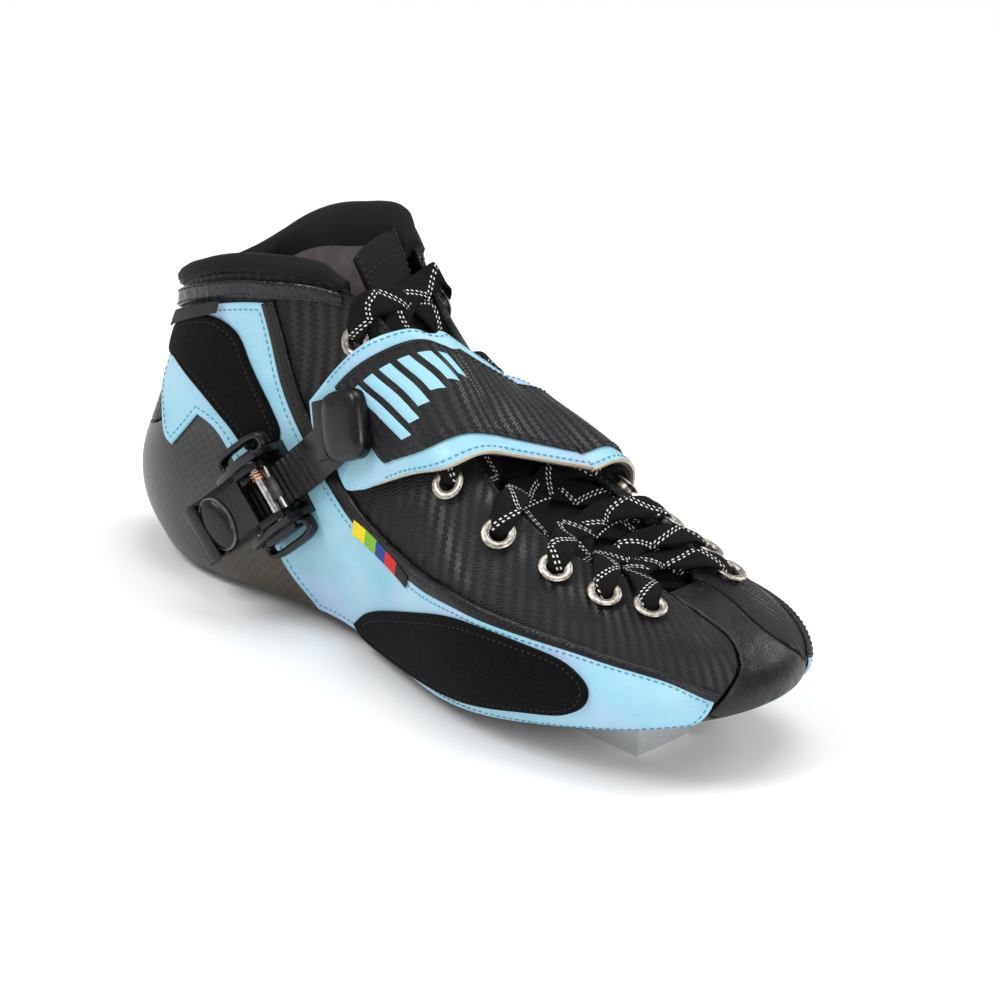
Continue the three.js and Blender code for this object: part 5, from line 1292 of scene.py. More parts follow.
def make_tongue():
    """The tongue under the lace, padded, with a suede back."""
    back = TONGUE_OUT - TONGUE_THICK
    for name, node, low, high, finish in (
        ("padded_tongue", "tongue", back, TONGUE_OUT, "neoprene"),
        ("tongue_suede", "tongue_lining", back - GAP - LINING, back - GAP, "suede"),
    ):
        grid, normal, uv = tongue_grid(low)
        made = grid_sheet(
            name, grid, normal, 0, high - low, uv, edge=2.4, slot=finish, finish=finish, replaces=[node]
        )
    grid, normal, _ = tongue_grid(TONGUE_OUT)
    path = np.concatenate([grid[3, ::-1], grid[3:-3, 3], grid[-4, :]])
    out = np.concatenate([normal[3, ::-1], normal[3:-3, 3], normal[-4, :]])
    sew("tongue_stitches", path, out, "black_thread", 2.6)


# ---------------------------------------------------------------- eyelets and lace
LACE_THICK = 1.7
LACE_OVER = 1.7 + GAP + LACE_THICK / 2
LACE_UNDER = -(WALL + 2 * GAP + LACE_THICK / 2)
LACE_MIDDLE = TONGUE_OUT + LACE_THICK / 2 + 2.4


def make_eyelets():
    """The fourteen nickel eyelets, as one ring repeated at the lace holes."""
    points, runs, outs = [], [], []
    for medial in (False, True):
        for around, up in EYELETS:
            turn = 2 - around if medial else around
            out = last_normal(turn, up)
            way = np.array([1.0, 0, 0]) - out * out[0]
            points.append(last_point(turn, up) + out * 0.9)
            runs.append(way / np.linalg.norm(way))
            outs.append(out)
    sizes = bpy.context.scene.boot_lacing
    values = {"Radius": sizes.eyelet, "Hole": sizes.eyelet_hole, "Finish": FINISHES["nickel"]}
    mesh = grow("eyelets", eyelet_tree(), markers("eyelet_spots", np.array(points), runs, outs), values)
    nodes = [f"eyelet_{word}_{i + 1}" for word in ("lateral", "medial") for i in range(7)]
    settle(mesh, "eyelets", "boot", "steel", None, nodes, 180)


def edge_across(along, medial):
    return (1 if medial else -1) * (2 - float(THROAT_EDGE(along)))


def lace_width():
    """The lace's full width, in millimetres."""
    return bpy.context.scene.boot_lacing.lace_width * 1000


def lace_stop(along, across, off, width):
    """A point on the lace's way over the instep, with its outward direction."""
    at = on_instep(along, across, off)
    out = unit(on_instep(along, across, off + 1.0) - at)
    return at, out, width


def at_eyelet(index, medial, towards, steps_list):
    """Points at set distances from an eyelet's middle, towards a point."""
    around, up = EYELETS[index]
    turn = 2 - around if medial else around
    centre = last_point(turn, up)
    out = last_normal(turn, up)
    way = towards - centre
    way = unit(way - out * np.dot(way, out))
    return [(centre + way * far + out * off, out, width) for far, off, width in steps_list]


INTO_HOLE = [
    (7.5, LACE_OVER + 0.1, 9.5),
    (4.2, LACE_OVER + 0.15, 8.6),
    (1.8, LACE_OVER - 0.6, 6.4),
    (0.4, 0.6, 5.2),
    (0, -1.0, 4.0),
]
OUT_OF_HOLE = [(0.2, -1.6, 4.0), (1.7, LACE_UNDER - 0.1, 4.0), (5, LACE_UNDER, 4.0), (8.5, LACE_UNDER, 8.0)]


def lace_crossing(first, last, medial):
    """One crossing: under the throat's edge, over the tongue, and into the next eyelet across."""
    a, b = EYELETS[first], EYELETS[last]
    sign = 1 if medial else -1

    def span(k):
        return mix(a[0], b[0], k)

    def near(at, k, side, share, off):
        """A stop between an eyelet and the throat's edge on one side."""
        by_eyelet = 2 - at[1] if side else at[1] - 2
        return lace_stop(span(k), mix(by_eyelet, edge_across(span(k), side), share), off, lace_width())

    leave = lace_stop(span(0.18), edge_across(span(0.18), medial), LACE_UNDER - 0.4, lace_width())
    arrive = lace_stop(span(0.84), edge_across(span(0.84), not medial), LACE_OVER, lace_width())
    return [
        *at_eyelet(first, medial, leave[0], OUT_OF_HOLE),
        near(a, 0.08, medial, 0.5, LACE_UNDER - 0.9),
        near(a, 0.13, medial, 0.8, LACE_UNDER - 0.7),
        leave,
        lace_stop(span(0.32), 0.7 * sign, LACE_MIDDLE - 1.3, lace_width()),
        lace_stop(span(0.5), 0.0, LACE_MIDDLE, lace_width()),
        lace_stop(span(0.68), -0.7 * sign, LACE_MIDDLE + 1.2, lace_width()),
        arrive,
        near(b, 0.9, not medial, 0.7, LACE_OVER + 0.4),
        *at_eyelet(last, not medial, arrive[0], INTO_HOLE),
    ]


def lace_strand(medial):
    """The stops of one half of the lace, from its bar at the toe to the top eyelet."""
    along = EYELETS[0][0] + 0.006
    sign = 1 if medial else -1
    arrive = lace_stop(along, edge_across(along, medial), GAP + LACE_THICK / 2 + 0.5, lace_width())
    stops = [
        lace_stop(along, -0.2 * sign, LACE_MIDDLE + 0.8, 8.0),
        lace_stop(along, 0.5 * sign, LACE_MIDDLE + 1, 8.0),
        arrive,
        *at_eyelet(0, medial, arrive[0], INTO_HOLE),
    ]
    for i in range(6):
        stops += lace_crossing(i, i + 1, medial)
        medial = not medial
    return stops


def ribbon(name, stops, finish, slot, nodes):
    """A flat lace swept through its stops, with rounded edges."""
    points = np.array([s[0] for s in stops])
    outs = np.array([s[1] for s in stops])
    widths = np.array([s[2] for s in stops])
    knots = np.concatenate([[0], np.cumsum(np.linalg.norm(np.diff(points, axis=0), axis=1))])
    count = max(2, int(knots[-1] / 1.6))
    at = np.linspace(0, knots[-1], count)
    path = np.stack([curve(np.stack([knots, points[:, k]], -1))(at) for k in range(3)], -1)
    normal = unit(np.stack([np.interp(at, knots, outs[:, k]) for k in range(3)], -1))
    width = np.interp(at, knots, widths)
    tangent = unit(np.gradient(path, axis=0))
    shape = [(-1, 0.0), (-0.93, 0.75), (-0.6, 1.0), (0.6, 1.0), (0.93, 0.75), (1, 0.0)]
    shape += [(-x, -y) for x, y in shape[1:-1][::-1]]
    rings, uvs, wide = [], [], None
    for i in range(count):
        side = np.cross(tangent[i], normal[i])
        if np.linalg.norm(side) < 0.5 and wide is not None:
            side = wide
        if wide is not None and np.dot(side, wide) < 0:
            side = -side
        side = unit(side - tangent[i] * np.dot(side, tangent[i]))
        wide = side
        up = np.cross(side, tangent[i])
        rings.append([path[i] + side * x * width[i] / 2 + up * y * LACE_THICK / 2 for x, y in shape])
        uvs.append([(at[i], x * width[i] / 2) for x, _ in shape])
    flat_uv = np.array([uv for ring in uvs for uv in ring])
    rings = [np.array(ring) for ring in rings]
    return lofted(name, rings, uv=flat_uv, slot=slot, finish=finish, replaces=nodes, sharp=60)


def make_lace():
    """Both halves of the flat lace."""
    ribbon("lace_from_lateral", lace_strand(False), "lace", "lace", ["lace"])
    ribbon("lace_from_medial", lace_strand(True), "lace", "lace", ["lace"])


# ---------------------------------------------------------------- instep strap
STRAP_REAR = curve(
    [
        [-1.46, 0.4], [-1.38, 0.414], [-1.2, 0.462], [-1, 0.502], [-0.5, 0.52], [0, 0.53], [1, 0.545],
        [1.62, 0.55],
    ],
)
STRAP_FRONT = curve(
    [
        [-1.66, 0.468], [-1.59, 0.488], [-1.38, 0.573], [-1.16, 0.617], [-1, 0.645], [0, 0.69], [1, 0.69],
        [1.62, 0.61],
    ],
)
STRAP_HEIGHT = curve(
    [[-1.66, 3.6], [-1.5, 4], [-1.38, 6], [-1.2, 6.8], [1, 5.8], [1.38, 5.6], [1.52, 1.4], [1.62, 0.8]]
)
STRAP_ROWS = np.array([0, 0.13, 0.3, 0.5, 0.7, 0.87, 1])
STRAP_STATIONS = 24


def strap_underside():
    """The strap's underside: taut, so that where the boot dips it spans straight across."""
    u = np.linspace(0, 1, STRAP_STATIONS + 1)
    lines = []
    for v in STRAP_ROWS:
        start = mix(-1.46, -1.66, v) + 0.075 * (2 * v - 1) ** 4
        across = mix(start, 1.6, u)
        along = mix(STRAP_REAR(across), STRAP_FRONT(across), v)
        line = on_instep(along, across, STRAP_HEIGHT(across))
        out = on_instep(along, across, STRAP_HEIGHT(across) + 1) - line
        for _ in range(150):
            for i in range(1, STRAP_STATIONS - 4):
                middle = (line[i - 1] + line[i + 1]) / 2
                if np.dot(middle - line[i], out[i]) > 0:
                    line[i] = middle
        lines.append(line)
    grid = np.array(lines)
    rows = np.linspace(0, 1, 31)
    fine = np.stack(
        [
            [curve(np.stack([STRAP_ROWS, grid[:, i, k]], -1))(rows) for k in range(3)]
            for i in range(STRAP_STATIONS + 1)
        ],
    )
    fine = fine.transpose(2, 0, 1)
    at = np.linspace(0, 1, 121)
    lines = [curve(np.stack([u, fine[j, :, k]], -1))(at) for j in range(31) for k in range(3)]
    base = np.stack(lines).reshape(31, 3, -1)
    base = base.transpose(0, 2, 1)
    across_line = np.gradient(base, axis=0)
    along_line = np.gradient(base, axis=1)
    return base, unit(np.cross(across_line, along_line)), at, rows


def make_strap():
    """The strap's three layers, their sewing, and the slanted embroidered bars along its middle."""
    base, normal, at, rows = strap_underside()
    run = np.cumsum(np.linalg.norm(np.diff(base[15], axis=0), axis=-1))
    run = np.concatenate([[0], run])
    uv = np.stack(np.broadcast_arrays(run[None], (rows[:, None] - 0.5) * 45), -1)
    moving, still = to_frame(base[15, 14]), to_frame(base[15, 75])

    def follow(made):
        """Bakes the piece's placement into its points; it rides on no body."""
        tuple(map(float, still))
        tuple(map(float, moving))
        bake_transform(made)

    layers = [
        ("strap_back", "strap_lining", 0, 0.8, 0, 0, "suede", "suede"),
        ("strap_leather", "strap_trim", 1.1, 2.4, 0, 0, "blue_leather", "blue"),
        ("strap_face", "strap_inlay", 2.7, 3.7, 4, 5, "twill", "twill"),
    ]
    for name, node, low, high, inset_rows, inset_at, slot, finish in layers:
        rows_range = slice(inset_rows, len(rows) - inset_rows)
        at_range = slice(inset_at, len(at) - inset_at)
        made = grid_sheet(
            name, base[rows_range, at_range], normal[rows_range, at_range], low, high,
            uv[rows_range, at_range], slot=slot, finish=finish, replaces=[node], body=None,
        )
        follow(made)
    for k, row in enumerate((1, 29)):
        path = base[row, 3:-4] + normal[row, 3:-4] * 2.45
        follow(sew(f"strap_trim_stitches_{k + 1}", path, normal[row, 3:-4], "blue_thread", 2.5, body=None))
    for k, row in enumerate((5, 25)):
        path = base[row, 6:-6] + normal[row, 6:-6] * 3.75
        follow(sew(f"strap_face_stitches_{k + 1}", path, normal[row, 6:-6], "black_thread", 2.5, body=None))
    points, faces, uvs = [], [], []
    for i in range(6):
        tall = 15 - 2 * i
        for r in range(tall + 1):
            for c in range(6):
                row = 8 + r
                far = 27 + 6.4 * i + 0.8 * c + 0.5 * r
                rim = min(r, tall - r, c, 5 - c)
                spot = np.array([np.interp(far, run, base[row, :, k]) for k in range(3)])
                out = np.array([np.interp(far, run, normal[row, :, k]) for k in range(3)])
                points.append(spot + out * (3.8 + 0.4 * min(1, rim)))
                uvs.append((far, (rows[row] - 0.5) * 45))
        n = len(points) - 6 * (tall + 1)
        for r in range(tall):
            for c in range(5):
                a = n + r * 6 + c
                faces.append((a, a + 1, a + 7, a + 6))
    bars = piece(
        "strap_bars", np.array(points), faces, np.array(uvs), body=None, slot="blue_leather",
        finish="satin", sharp=90,
    )
    follow(bars)
    rings = []
    for i in range(1, len(at)):
        side = unit(base[30, i] - base[28, i])
        low, high = base[30, i] + normal[30, i] * 1.0, base[30, i] + normal[30, i] * 2.2
        rings.append(np.array([low, low + side * 0.45, high + side * 0.35, high - side * 0.1]))
    follow(lofted("strap_cut_edge", rings, body=None, slot="blue_leather", finish="cut_edge"))


# ---------------------------------------------------------------- ratchet buckle
BUCKLE_X = np.array(JOINTS["ladder_slide"]["axis"], float)
BUCKLE_Y = np.array(JOINTS["lever_hinge"]["axis"], float)
BUCKLE_Z = np.cross(BUCKLE_X, BUCKLE_Y)
LEVER_PIN = (8.0, 11.0)
BUCKLE_AT = np.array(JOINTS["lever_hinge"].get("pos_m", JOINTS["lever_hinge"].get("pos")), float)
BUCKLE_AT = BUCKLE_AT - (BUCKLE_X * LEVER_PIN[0] + BUCKLE_Z * LEVER_PIN[1]) * 0.001
DRIVE_PIN = (9.2, 7.1)
LOCK_PIN = (-6.0, 7.8)
FLOOR_TOP = 1.6
LADDER_LOW = 2.5
ARM_IN = 8.5
ARM_OUT = 11.2
WALL_IN = 11.6
WALL_OUT = 14.2
LADDER_PATH = curve(
    [
        [-38, LADDER_LOW - 4.4],
        [-28, LADDER_LOW - 1.8],
        [-22, LADDER_LOW - 0.5],
        [-16, LADDER_LOW],
        [-8, LADDER_LOW],
        [16, LADDER_LOW],
        [26, LADDER_LOW + 1.2],
        [35, LADDER_LOW + 4.2],
        [56, LADDER_LOW + 6],
    ],
)
CAP_X = np.array([0.900159, 0.009873, 0.435451])
CAP_Y = np.array([-0.425275, 0.235917, 0.873776])
CAP_Z = np.array([-0.094103, -0.971723, 0.216562])
CAP_AT = np.array([0.095994, -0.033925, 0.085199])


def in_buckle(points):
    """Millimetres in the buckle's frame to the last's frame."""
    p = np.asarray(points, float)
    metres = BUCKLE_AT + (p[..., :1] * BUCKLE_X + p[..., 1:2] * BUCKLE_Y + p[..., 2:] * BUCKLE_Z) * 0.001
    return metres * 1000 + ORIGIN


def in_cap(points):
    p = np.asarray(points, float)
    metres = CAP_AT + (p[..., :1] * CAP_X + p[..., 1:2] * CAP_Y + p[..., 2:] * CAP_Z) * 0.001
    return metres * 1000 + ORIGIN


def plate(profile, y0, y1, taper=0.0):
    """A plate cut to an (x, z) profile, between two widths; taper narrows its far side."""
    profile = np.asarray(profile, float)
    centre = profile.mean(0)
    far = centre + (profile - centre) * (1 - taper)
    n = len(profile)
    points = [(x, y0, z) for x, z in profile] + [(x, y1, z) for x, z in far]
    faces = [tuple(range(n))[::-1], tuple(n + i for i in range(n))]
    faces += [(i, (i + 1) % n, n + (i + 1) % n, n + i) for i in range(n)]
    return np.array(points), faces


def block(x0, x1, y0, y1, z0, z1):
    return plate([(x0, z0), (x1, z0), (x1, z1), (x0, z1)], y0, y1)


def hard_part(name, parts, place, body, finish, slot, nodes=(), bevel=0.35, sharp=35):
    """Several plates as one part, with every edge rounded."""
    points, faces = [], []
    for got, given in parts:
        n = len(points)
        points += [tuple(p) for p in got]
        faces += [tuple(n + i for i in f) for f in given]
    made = piece(name, place(np.array(points)), faces, body=None, sharp=180)
    work = bmesh.new()
    work.from_mesh(made.data)
    bmesh.ops.recalc_face_normals(work, faces=work.faces)
    edges = [e for e in work.edges if len(e.link_faces) == 2 and e.calc_face_angle(0) > math.radians(sharp)]
    bmesh.ops.bevel(
        work, geom=edges, offset=bevel * 0.001, segments=2, profile=0.6, affect="EDGES", clamp_overlap=True
    )
    work.to_mesh(made.data)
    work.free()
    bpy.context.scene.collection.objects.unlink(made)
    data = made.data
    bpy.data.objects.remove(made)
    return settle(data, name, body, slot, finish, nodes, 40)


def ring_of(count, roundness=1.0):
    """A closed outline of unit size: a circle, or squarer as roundness falls."""
    turn = np.linspace(0, 2 * np.pi, count + 1)[:-1]
    spots = np.stack([np.cos(turn), np.sin(turn)], -1)
    return np.sign(spots) * np.abs(spots) ** roundness


def stacked(shape, levels, middle=(0.0, 0.0), place=in_buckle):
    """Rings of one outline, each at its own (half length, half width, height)."""
    rings = []
    for half_x, half_y, z in levels:
        x, y = middle[0] + shape[:, 0] * half_x, middle[1] + shape[:, 1] * half_y
        rings.append(place(np.stack([x, y, np.full(len(shape), z)], -1)))
    return rings


def along_pin(points):
    """As in_buckle, for a round piece that lies across the buckle."""
    return in_buckle(points[:, [0, 2, 1]])


def make_bed():
    """The buckle's base with its walls and ribs, and the two open loops beside it."""
    top = LEVER_PIN[1] + 2.6
    walls = [(-15, 1), (15, 1), (15, 8), (13, top), (3, top), (-9, 10), (-14, 7)]
    outer = [(-13, 1.5), (9, 1.5), (9, 7), (2, 8.2), (-8, 6.5)]
    parts = [block(-15, 15, -WALL_OUT, WALL_OUT, -2.6, FLOOR_TOP)]
    for y in (WALL_IN, -WALL_OUT):
        parts.append(plate(walls, y, y + WALL_OUT - WALL_IN))
        sign = 1 if y > 0 else -1
        edge = y + (WALL_OUT - WALL_IN if sign > 0 else 0)
        parts.append(plate(outer, edge - 0.3 * sign, edge + 2.2 * sign, 0.12))
    for x in (-10.5, -3.5, 3.5, 10.5):
        parts.append(block(x - 0.7, x + 0.7, -WALL_OUT - 0.4, -WALL_OUT + 1, -1.5, 2.2))
    hard_part("buckle_bed", parts, in_buckle, "boot", "nylon", "nylon", ["buckle_base"])
    outside = ((12.5, 4.6, 2.2), (12.5, 4.6, 5.6), (11.9, 4.0, 6.2))
    inside_of = ((10.6, 2.7, 6.2), (10.0, 2.1, 5.6), (10.0, 2.1, 2.2))
    for word, sign in (("lower", -1), ("upper", 1)):
        rings = stacked(ring_of(40, 0.6), outside + inside_of, (1.5, sign * (WALL_OUT + 3.0)))
        closed = rings + rings[:1]
        lofted("buckle_loop_" + word, closed, closed_ends=False, slot="nylon", finish="nylon", sharp=50)


def make_lever():
    """The ratchet lever with its round thumb plate and the plate's light grey rim."""
    dome = ((1.0, 14.3), (1.0, 15.6), (0.93, 16.3), (0.6, 16.9), (0.1, 17.1))
    rings = stacked(ring_of(40), [(6.5 * k, 9.5 * k, z) for k, z in dome], (-15.5, 0))
    lofted("thumb_plate", rings, body="lever", slot="nylon", finish="nylon", sharp=50)
    rim = [(6.5 * k, 9.5 * k, z) for k, z in ((1.0, 14.6), (1.07, 14.7), (1.07, 15.5), (1.0, 15.7))]
    rings = stacked(ring_of(40), rim, (-15.5, 0))
    lofted(
        "thumb_plate_rim", rings + rings[:1], closed_ends=False, body="lever", slot="nylon",
        finish="worn", sharp=50,
    )
    arm = [(11.6, 10), (11.2, 13), (9, 14.4), (-20, 14.4), (-20, 12.6), (2, 12.6), (4, 9), (7.2, 5.5)]
    arm.append((10.6, 5.5))
    cover = [(1, 12.6), (1, 14.4), (-18, 14.4), (-24, 16), (-25, 14.6), (-18, 12.6)]
    grip = [(-24, 15.4), (-20, 15.6), (-20, 17.1), (-23, 17.4), (-26.5, 16.2)]
    parts = [plate(cover, -ARM_OUT, ARM_OUT), plate(grip, -ARM_OUT + 0.8, ARM_OUT - 0.8)]
    for y in (ARM_IN, -ARM_OUT):
        parts.append(plate(arm, y, y + ARM_OUT - ARM_IN))
    hard_part("release_lever", parts, in_buckle, "lever", "nylon", "nylon", ["buckle_lever"])


def make_pawls():
    """The tooth on the lever that drives the ladder, and the one on the base that holds it."""
    drive = [(10.6, 6.3), (10.8, 8.2), (8.7, 8.8), (6.6, 8.1), (3.6, 6.1), (3.6, 5.4), (5.2, 5.4), (8.2, 5.5)]
    drive.append((9.2, 5.5))
    lock = [(-4, 6.8), (-4, 9), (-6, 9.8), (-12, 9.2), (-20, 8.6), (-20, 7.2), (-13, 7.4), (-11.4, 5.4)]
    lock += [(-10, 5.4), (-7.6, 6)]
    for name, profile, body in (("drive_tooth", drive, "drive_pawl"), ("lock_tooth", lock, "lock_pawl")):
        tooth = [plate(profile, -4, 4)]
        hard_part(name, tooth, in_buckle, body, "worn", "nylon", [body], 0.2)


def make_pins():
    """The lever's, the drive pawl's and the lock pawl's steel pins, chamfered at both ends."""
    for name, at, reach, body, node, radius in (
        ("lever_pin_rod", LEVER_PIN, WALL_OUT, "boot", "lever_pin", 1.5),
        ("drive_pin_rod", DRIVE_PIN, ARM_OUT, "lever", "drive_pin", 1.1),
        ("lock_pin_rod", LOCK_PIN, WALL_OUT, "boot", "lock_pin", 1.5),
    ):
        ends = ((-reach, 0.7), (-reach + 0.5, 1), (reach - 0.5, 1), (reach, 0.7))
        rings = stacked(ring_of(24), [(radius * k, radius * k, y) for y, k in ends], at, along_pin)
        lofted(name, rings, body=body, slot="steel", finish="steel", replaces=[node])


COIL_RADIUS = 2.1
COIL_START = 4.8
COIL_LENGTH = 3.0
COIL_TURNS = 2.5


def make_springs():
    """The coppered coil springs on the lever's and the lock pawl's pins."""
    for word, at in (("lever", LEVER_PIN), ("lock", LOCK_PIN)):
        turns = np.linspace(0, COIL_TURNS * 2 * np.pi, 61)
        rings = []
        for a in turns:
            x, z = COIL_RADIUS * np.cos(a), COIL_RADIUS * np.sin(a)
            middle = np.array([at[0] + x, COIL_START + COIL_LENGTH * a / turns[-1], at[1] + z])
            way = np.array([-z, COIL_LENGTH / turns[-1], x])
            way = way / np.linalg.norm(way)
            side = np.cross(way, [0, 1.0, 0])
            side = side / max(np.linalg.norm(side), 1e-9)
            up = np.cross(side, way)
            rings.append(in_buckle([middle + 0.4 * (side * x + up * y) for x, y in ring_of(8)]))
        lofted(word + "_coil", rings, slot="copper", finish="copper", replaces=[word + "_spring"])


def make_rivets():
    """The two rivets that hold the base to the shell."""
    for k, x in enumerate((-9.0, 4.0)):
        shank = ((2.0, -2.6), (2.0, FLOOR_TOP + 0.1))
        head = ((3.2, FLOOR_TOP + 0.12), (3.1, FLOOR_TOP + 0.35), (1.6, FLOOR_TOP + 0.5))
        rings = stacked(ring_of(24), [(r, r, z) for r, z in shank + head], (x, 0))
        node = f"buckle_rivet_{k + 1}"
        lofted(f"rivet_{k + 1}", rings, slot="steel", finish="steel", replaces=[node])


PILLOW = (10.0, 12.48)  # half length and half width of the end cap


def make_ladder():
    """The toothed strap that runs through the buckle, and its end cap: a flat loop and a rounded pillow."""
    at = np.linspace(-38, 54, 47)
    low, high = [], []
    for x in at:
        low.append((x, float(LADDER_PATH(x))))
    for x in at[::-1]:
        high.append((x, float(LADDER_PATH(x)) + 1.4))
    parts = [plate(low + high, -8, 8)]
    for x in np.arange(-36.5, 26, 3.0):
        z = float(LADDER_PATH(x)) + 1.3
        parts.append(plate([(x, z), (x + 2.7, z + 0.2), (x + 1.2, z + 1.2)], -7.4, 7.4))
    parts.append(block(-41, -37, -8.5, 8.5, float(LADDER_PATH(-38)) - 0.4, float(LADDER_PATH(-38)) + 2.4))
    hard_part("toothed_strap", parts, in_buckle, "ladder", "ladder", "nylon", ["ladder_strap"], 0.25)
    swell = [(0, 0.93), (0.4, 0.99), (1.8, 1.0), (3.8, 0.99), (5.4, 0.93), (6.2, 0.8), (6.5, 0.5)]
    swell.append((6.55, 0.1))
    levels = [(PILLOW[0] * k, PILLOW[1] * k, z) for z, k in swell]
    rings = stacked(ring_of(40, 0.5), levels, (2.5, 0), in_cap)
    lofted(
        "cap_pillow", rings, body="ladder", slot="nylon", finish="nylon",
        replaces=["strap_end_cap"], sharp=50,
    )
    loop = [(-14, 0.2), (-3, 0.2), (-3, 3.0), (-14, 3.0)]
    hard_part("cap_loop", [plate(loop, -10.5, 10.5)], in_cap, "ladder", "ladder", "nylon", (), 0.6)


# ---------------------------------------------------------------- stage
SUBJECT = Vector((0.114, 0, 0.0515))  # metres, what the camera turns about
CAMERA_DISTANCE = 1.238
AIM_RIGHT, AIM_UP = 0.01963, 0.00283  # metres from the subject to the middle of the view
LIT_SPOT = Vector((0.1, 0, 0.05))


def look_from(target, az, el, ro, distance):
    """A camera matrix that looks at the target from a direction, turned about its own line of sight."""
    back = Vector((math.sin(az) * math.cos(el), -math.cos(az) * math.cos(el), math.sin(el)))
    right = Vector((math.cos(az), math.sin(az), 0))
    up = back.cross(right)
    r = math.cos(ro) * right + math.sin(ro) * up
    u = -math.sin(ro) * right + math.cos(ro) * up
    position = target + back * distance
    aim = target + r * AIM_RIGHT + u * AIM_UP
    ahead = (aim - position).normalized()
    side = ahead.cross(u).normalized()
    true_up = side.cross(ahead)
    basis = Matrix((side, true_up, -ahead)).transposed()
    return Matrix.Translation(position) @ basis.to_4x4()


def make_stage():
    """Camera, soft studio light and a pale floor."""
    scene = bpy.context.scene
    sizes = scene.boot_stage
    camera = bpy.data.objects.new("camera", bpy.data.cameras.new("camera"))
    camera.data.lens = sizes.lens
    camera.data.sensor_width = 36
    angles = (sizes.azimuth, sizes.elevation, sizes.roll)
    camera.matrix_world = look_from(SUBJECT, *angles, CAMERA_DISTANCE)
    scene.collection.objects.link(camera)
    scene.camera = camera
    floor = bpy.data.objects.new("floor", bpy.data.meshes.new("floor"))
    low = float(CAD_BOX[0][2])
    corners = [(-2, -2, low), (2.2, -2, low), (2.2, 2, low), (-2, 2, low)]
    floor.data.from_pydata(corners, [], [(0, 1, 2, 3)])
    scene.collection.objects.link(floor)
    ground = Finish("studio floor", roughness=0.6)
    ground.shade("Base Color", "#fbfbfb")
    floor.data.materials.append(ground.material)
    world = bpy.data.worlds.new("studio")
    world.use_nodes = True
    world.node_tree.nodes["Background"].inputs["Color"].default_value = linear("#f4f5f6")
    world.node_tree.nodes["Background"].inputs["Strength"].default_value = sizes.fill
    scene.world = world
    scene.view_settings.view_transform = "Standard"
    for name, place_at, size, power in (
        ("key", (-0.5, -1.1, 1.5), 0.9, sizes.key),
        ("side", (1.5, -0.5, 0.7), 0.8, sizes.key * 0.5),
        ("top", (0.15, 0.2, 1.7), 1.1, sizes.key * 0.6),
        ("rim", (0.6, 1.3, 0.9), 0.7, sizes.key * 0.35),
    ):
        light = bpy.data.lights.new(name, "AREA")
        light.energy = power
        light.shape = "DISK"
        light.size = size
        made = bpy.data.objects.new(name, light)
        spot = Vector(place_at)
        facing = (LIT_SPOT - spot).to_track_quat("-Z", "Y").to_matrix().to_4x4()
        made.matrix_world = Matrix.Translation(spot) @ facing
        scene.collection.objects.link(made)


# ---------------------------------------------------------------- add-on
class BootStitching(bpy.types.PropertyGroup):
    """How the seams are sewn."""

    thread: bpy.props.FloatProperty(
        name="Thread", description="Thickness of the thread", default=0.00055, precision=5, unit="LENGTH"
    )
    stitch_share: bpy.props.FloatProperty(
        name="Stitch share", description="Share of the pitch that shows", default=0.72, subtype="FACTOR"
    )


class BootLacing(bpy.types.PropertyGroup):
    """Sizes of the lace and its eyelets."""

    lace_width: bpy.props.FloatProperty(
        name="Lace", description="Width of the flat lace", default=0.0096, precision=5, unit="LENGTH"
    )
    eyelet: bpy.props.FloatProperty(
        name="Eyelet", description="Radius of an eyelet's flange", default=0.006, precision=5, unit="LENGTH"
    )
    eyelet_hole: bpy.props.FloatProperty(
        name="Hole", description="Radius of an eyelet's hole", default=0.0034, precision=5, unit="LENGTH"
    )


class BootColours(bpy.types.PropertyGroup):
    """Colours of the trim."""

    leather_shade: bpy.props.FloatVectorProperty(
        name="Leather shade", description="Side leather where it is darkest",
        default=linear("#86bfd3")[:3], subtype="COLOR",
    )
    leather: bpy.props.FloatVectorProperty(
        name="Leather", description="Side leather",
        default=linear("#97c9db")[:3], subtype="COLOR",
    )
    leather_light: bpy.props.FloatVectorProperty(
        name="Leather light", description="Side leather where it is palest",
        default=linear("#a6d0e0")[:3], subtype="COLOR",
    )
    # Painted sheen: mixed into the side leather's base colour in patches, standing in for its coat's sheen.
    painted_pearl_sheen: bpy.props.FloatVectorProperty(
        name="Pearl", description="Sheen of the side leather's coat",
        default=linear("#b3bbdf")[:3], subtype="COLOR",
    )
    bars: bpy.props.FloatVectorProperty(
        name="Bars", description="Stitched bars on the strap",
        default=linear("#a9dcec")[:3], subtype="COLOR",
    )
    # Painted shade: the colour of the grooves between the bars' threads.
    bars_painted_shade: bpy.props.FloatVectorProperty(
        name="Bars shade", description="Between the bars' threads",
        default=linear("#6fa9c0")[:3], subtype="COLOR",
    )
    thread: bpy.props.FloatVectorProperty(
        name="Thread", description="Thread of the side leather",
        default=linear("#4f9ab5")[:3], subtype="COLOR",
    )
    thread_shade: bpy.props.FloatVectorProperty(
        name="Thread shade", description="The same thread where it is darkest",
        default=linear("#2f7c99")[:3], subtype="COLOR",
    )
    lace_dots: bpy.props.FloatVectorProperty(
        name="Lace dots", description="Dots along the lace",
        default=linear("#e9e7e4")[:3], subtype="COLOR",
    )


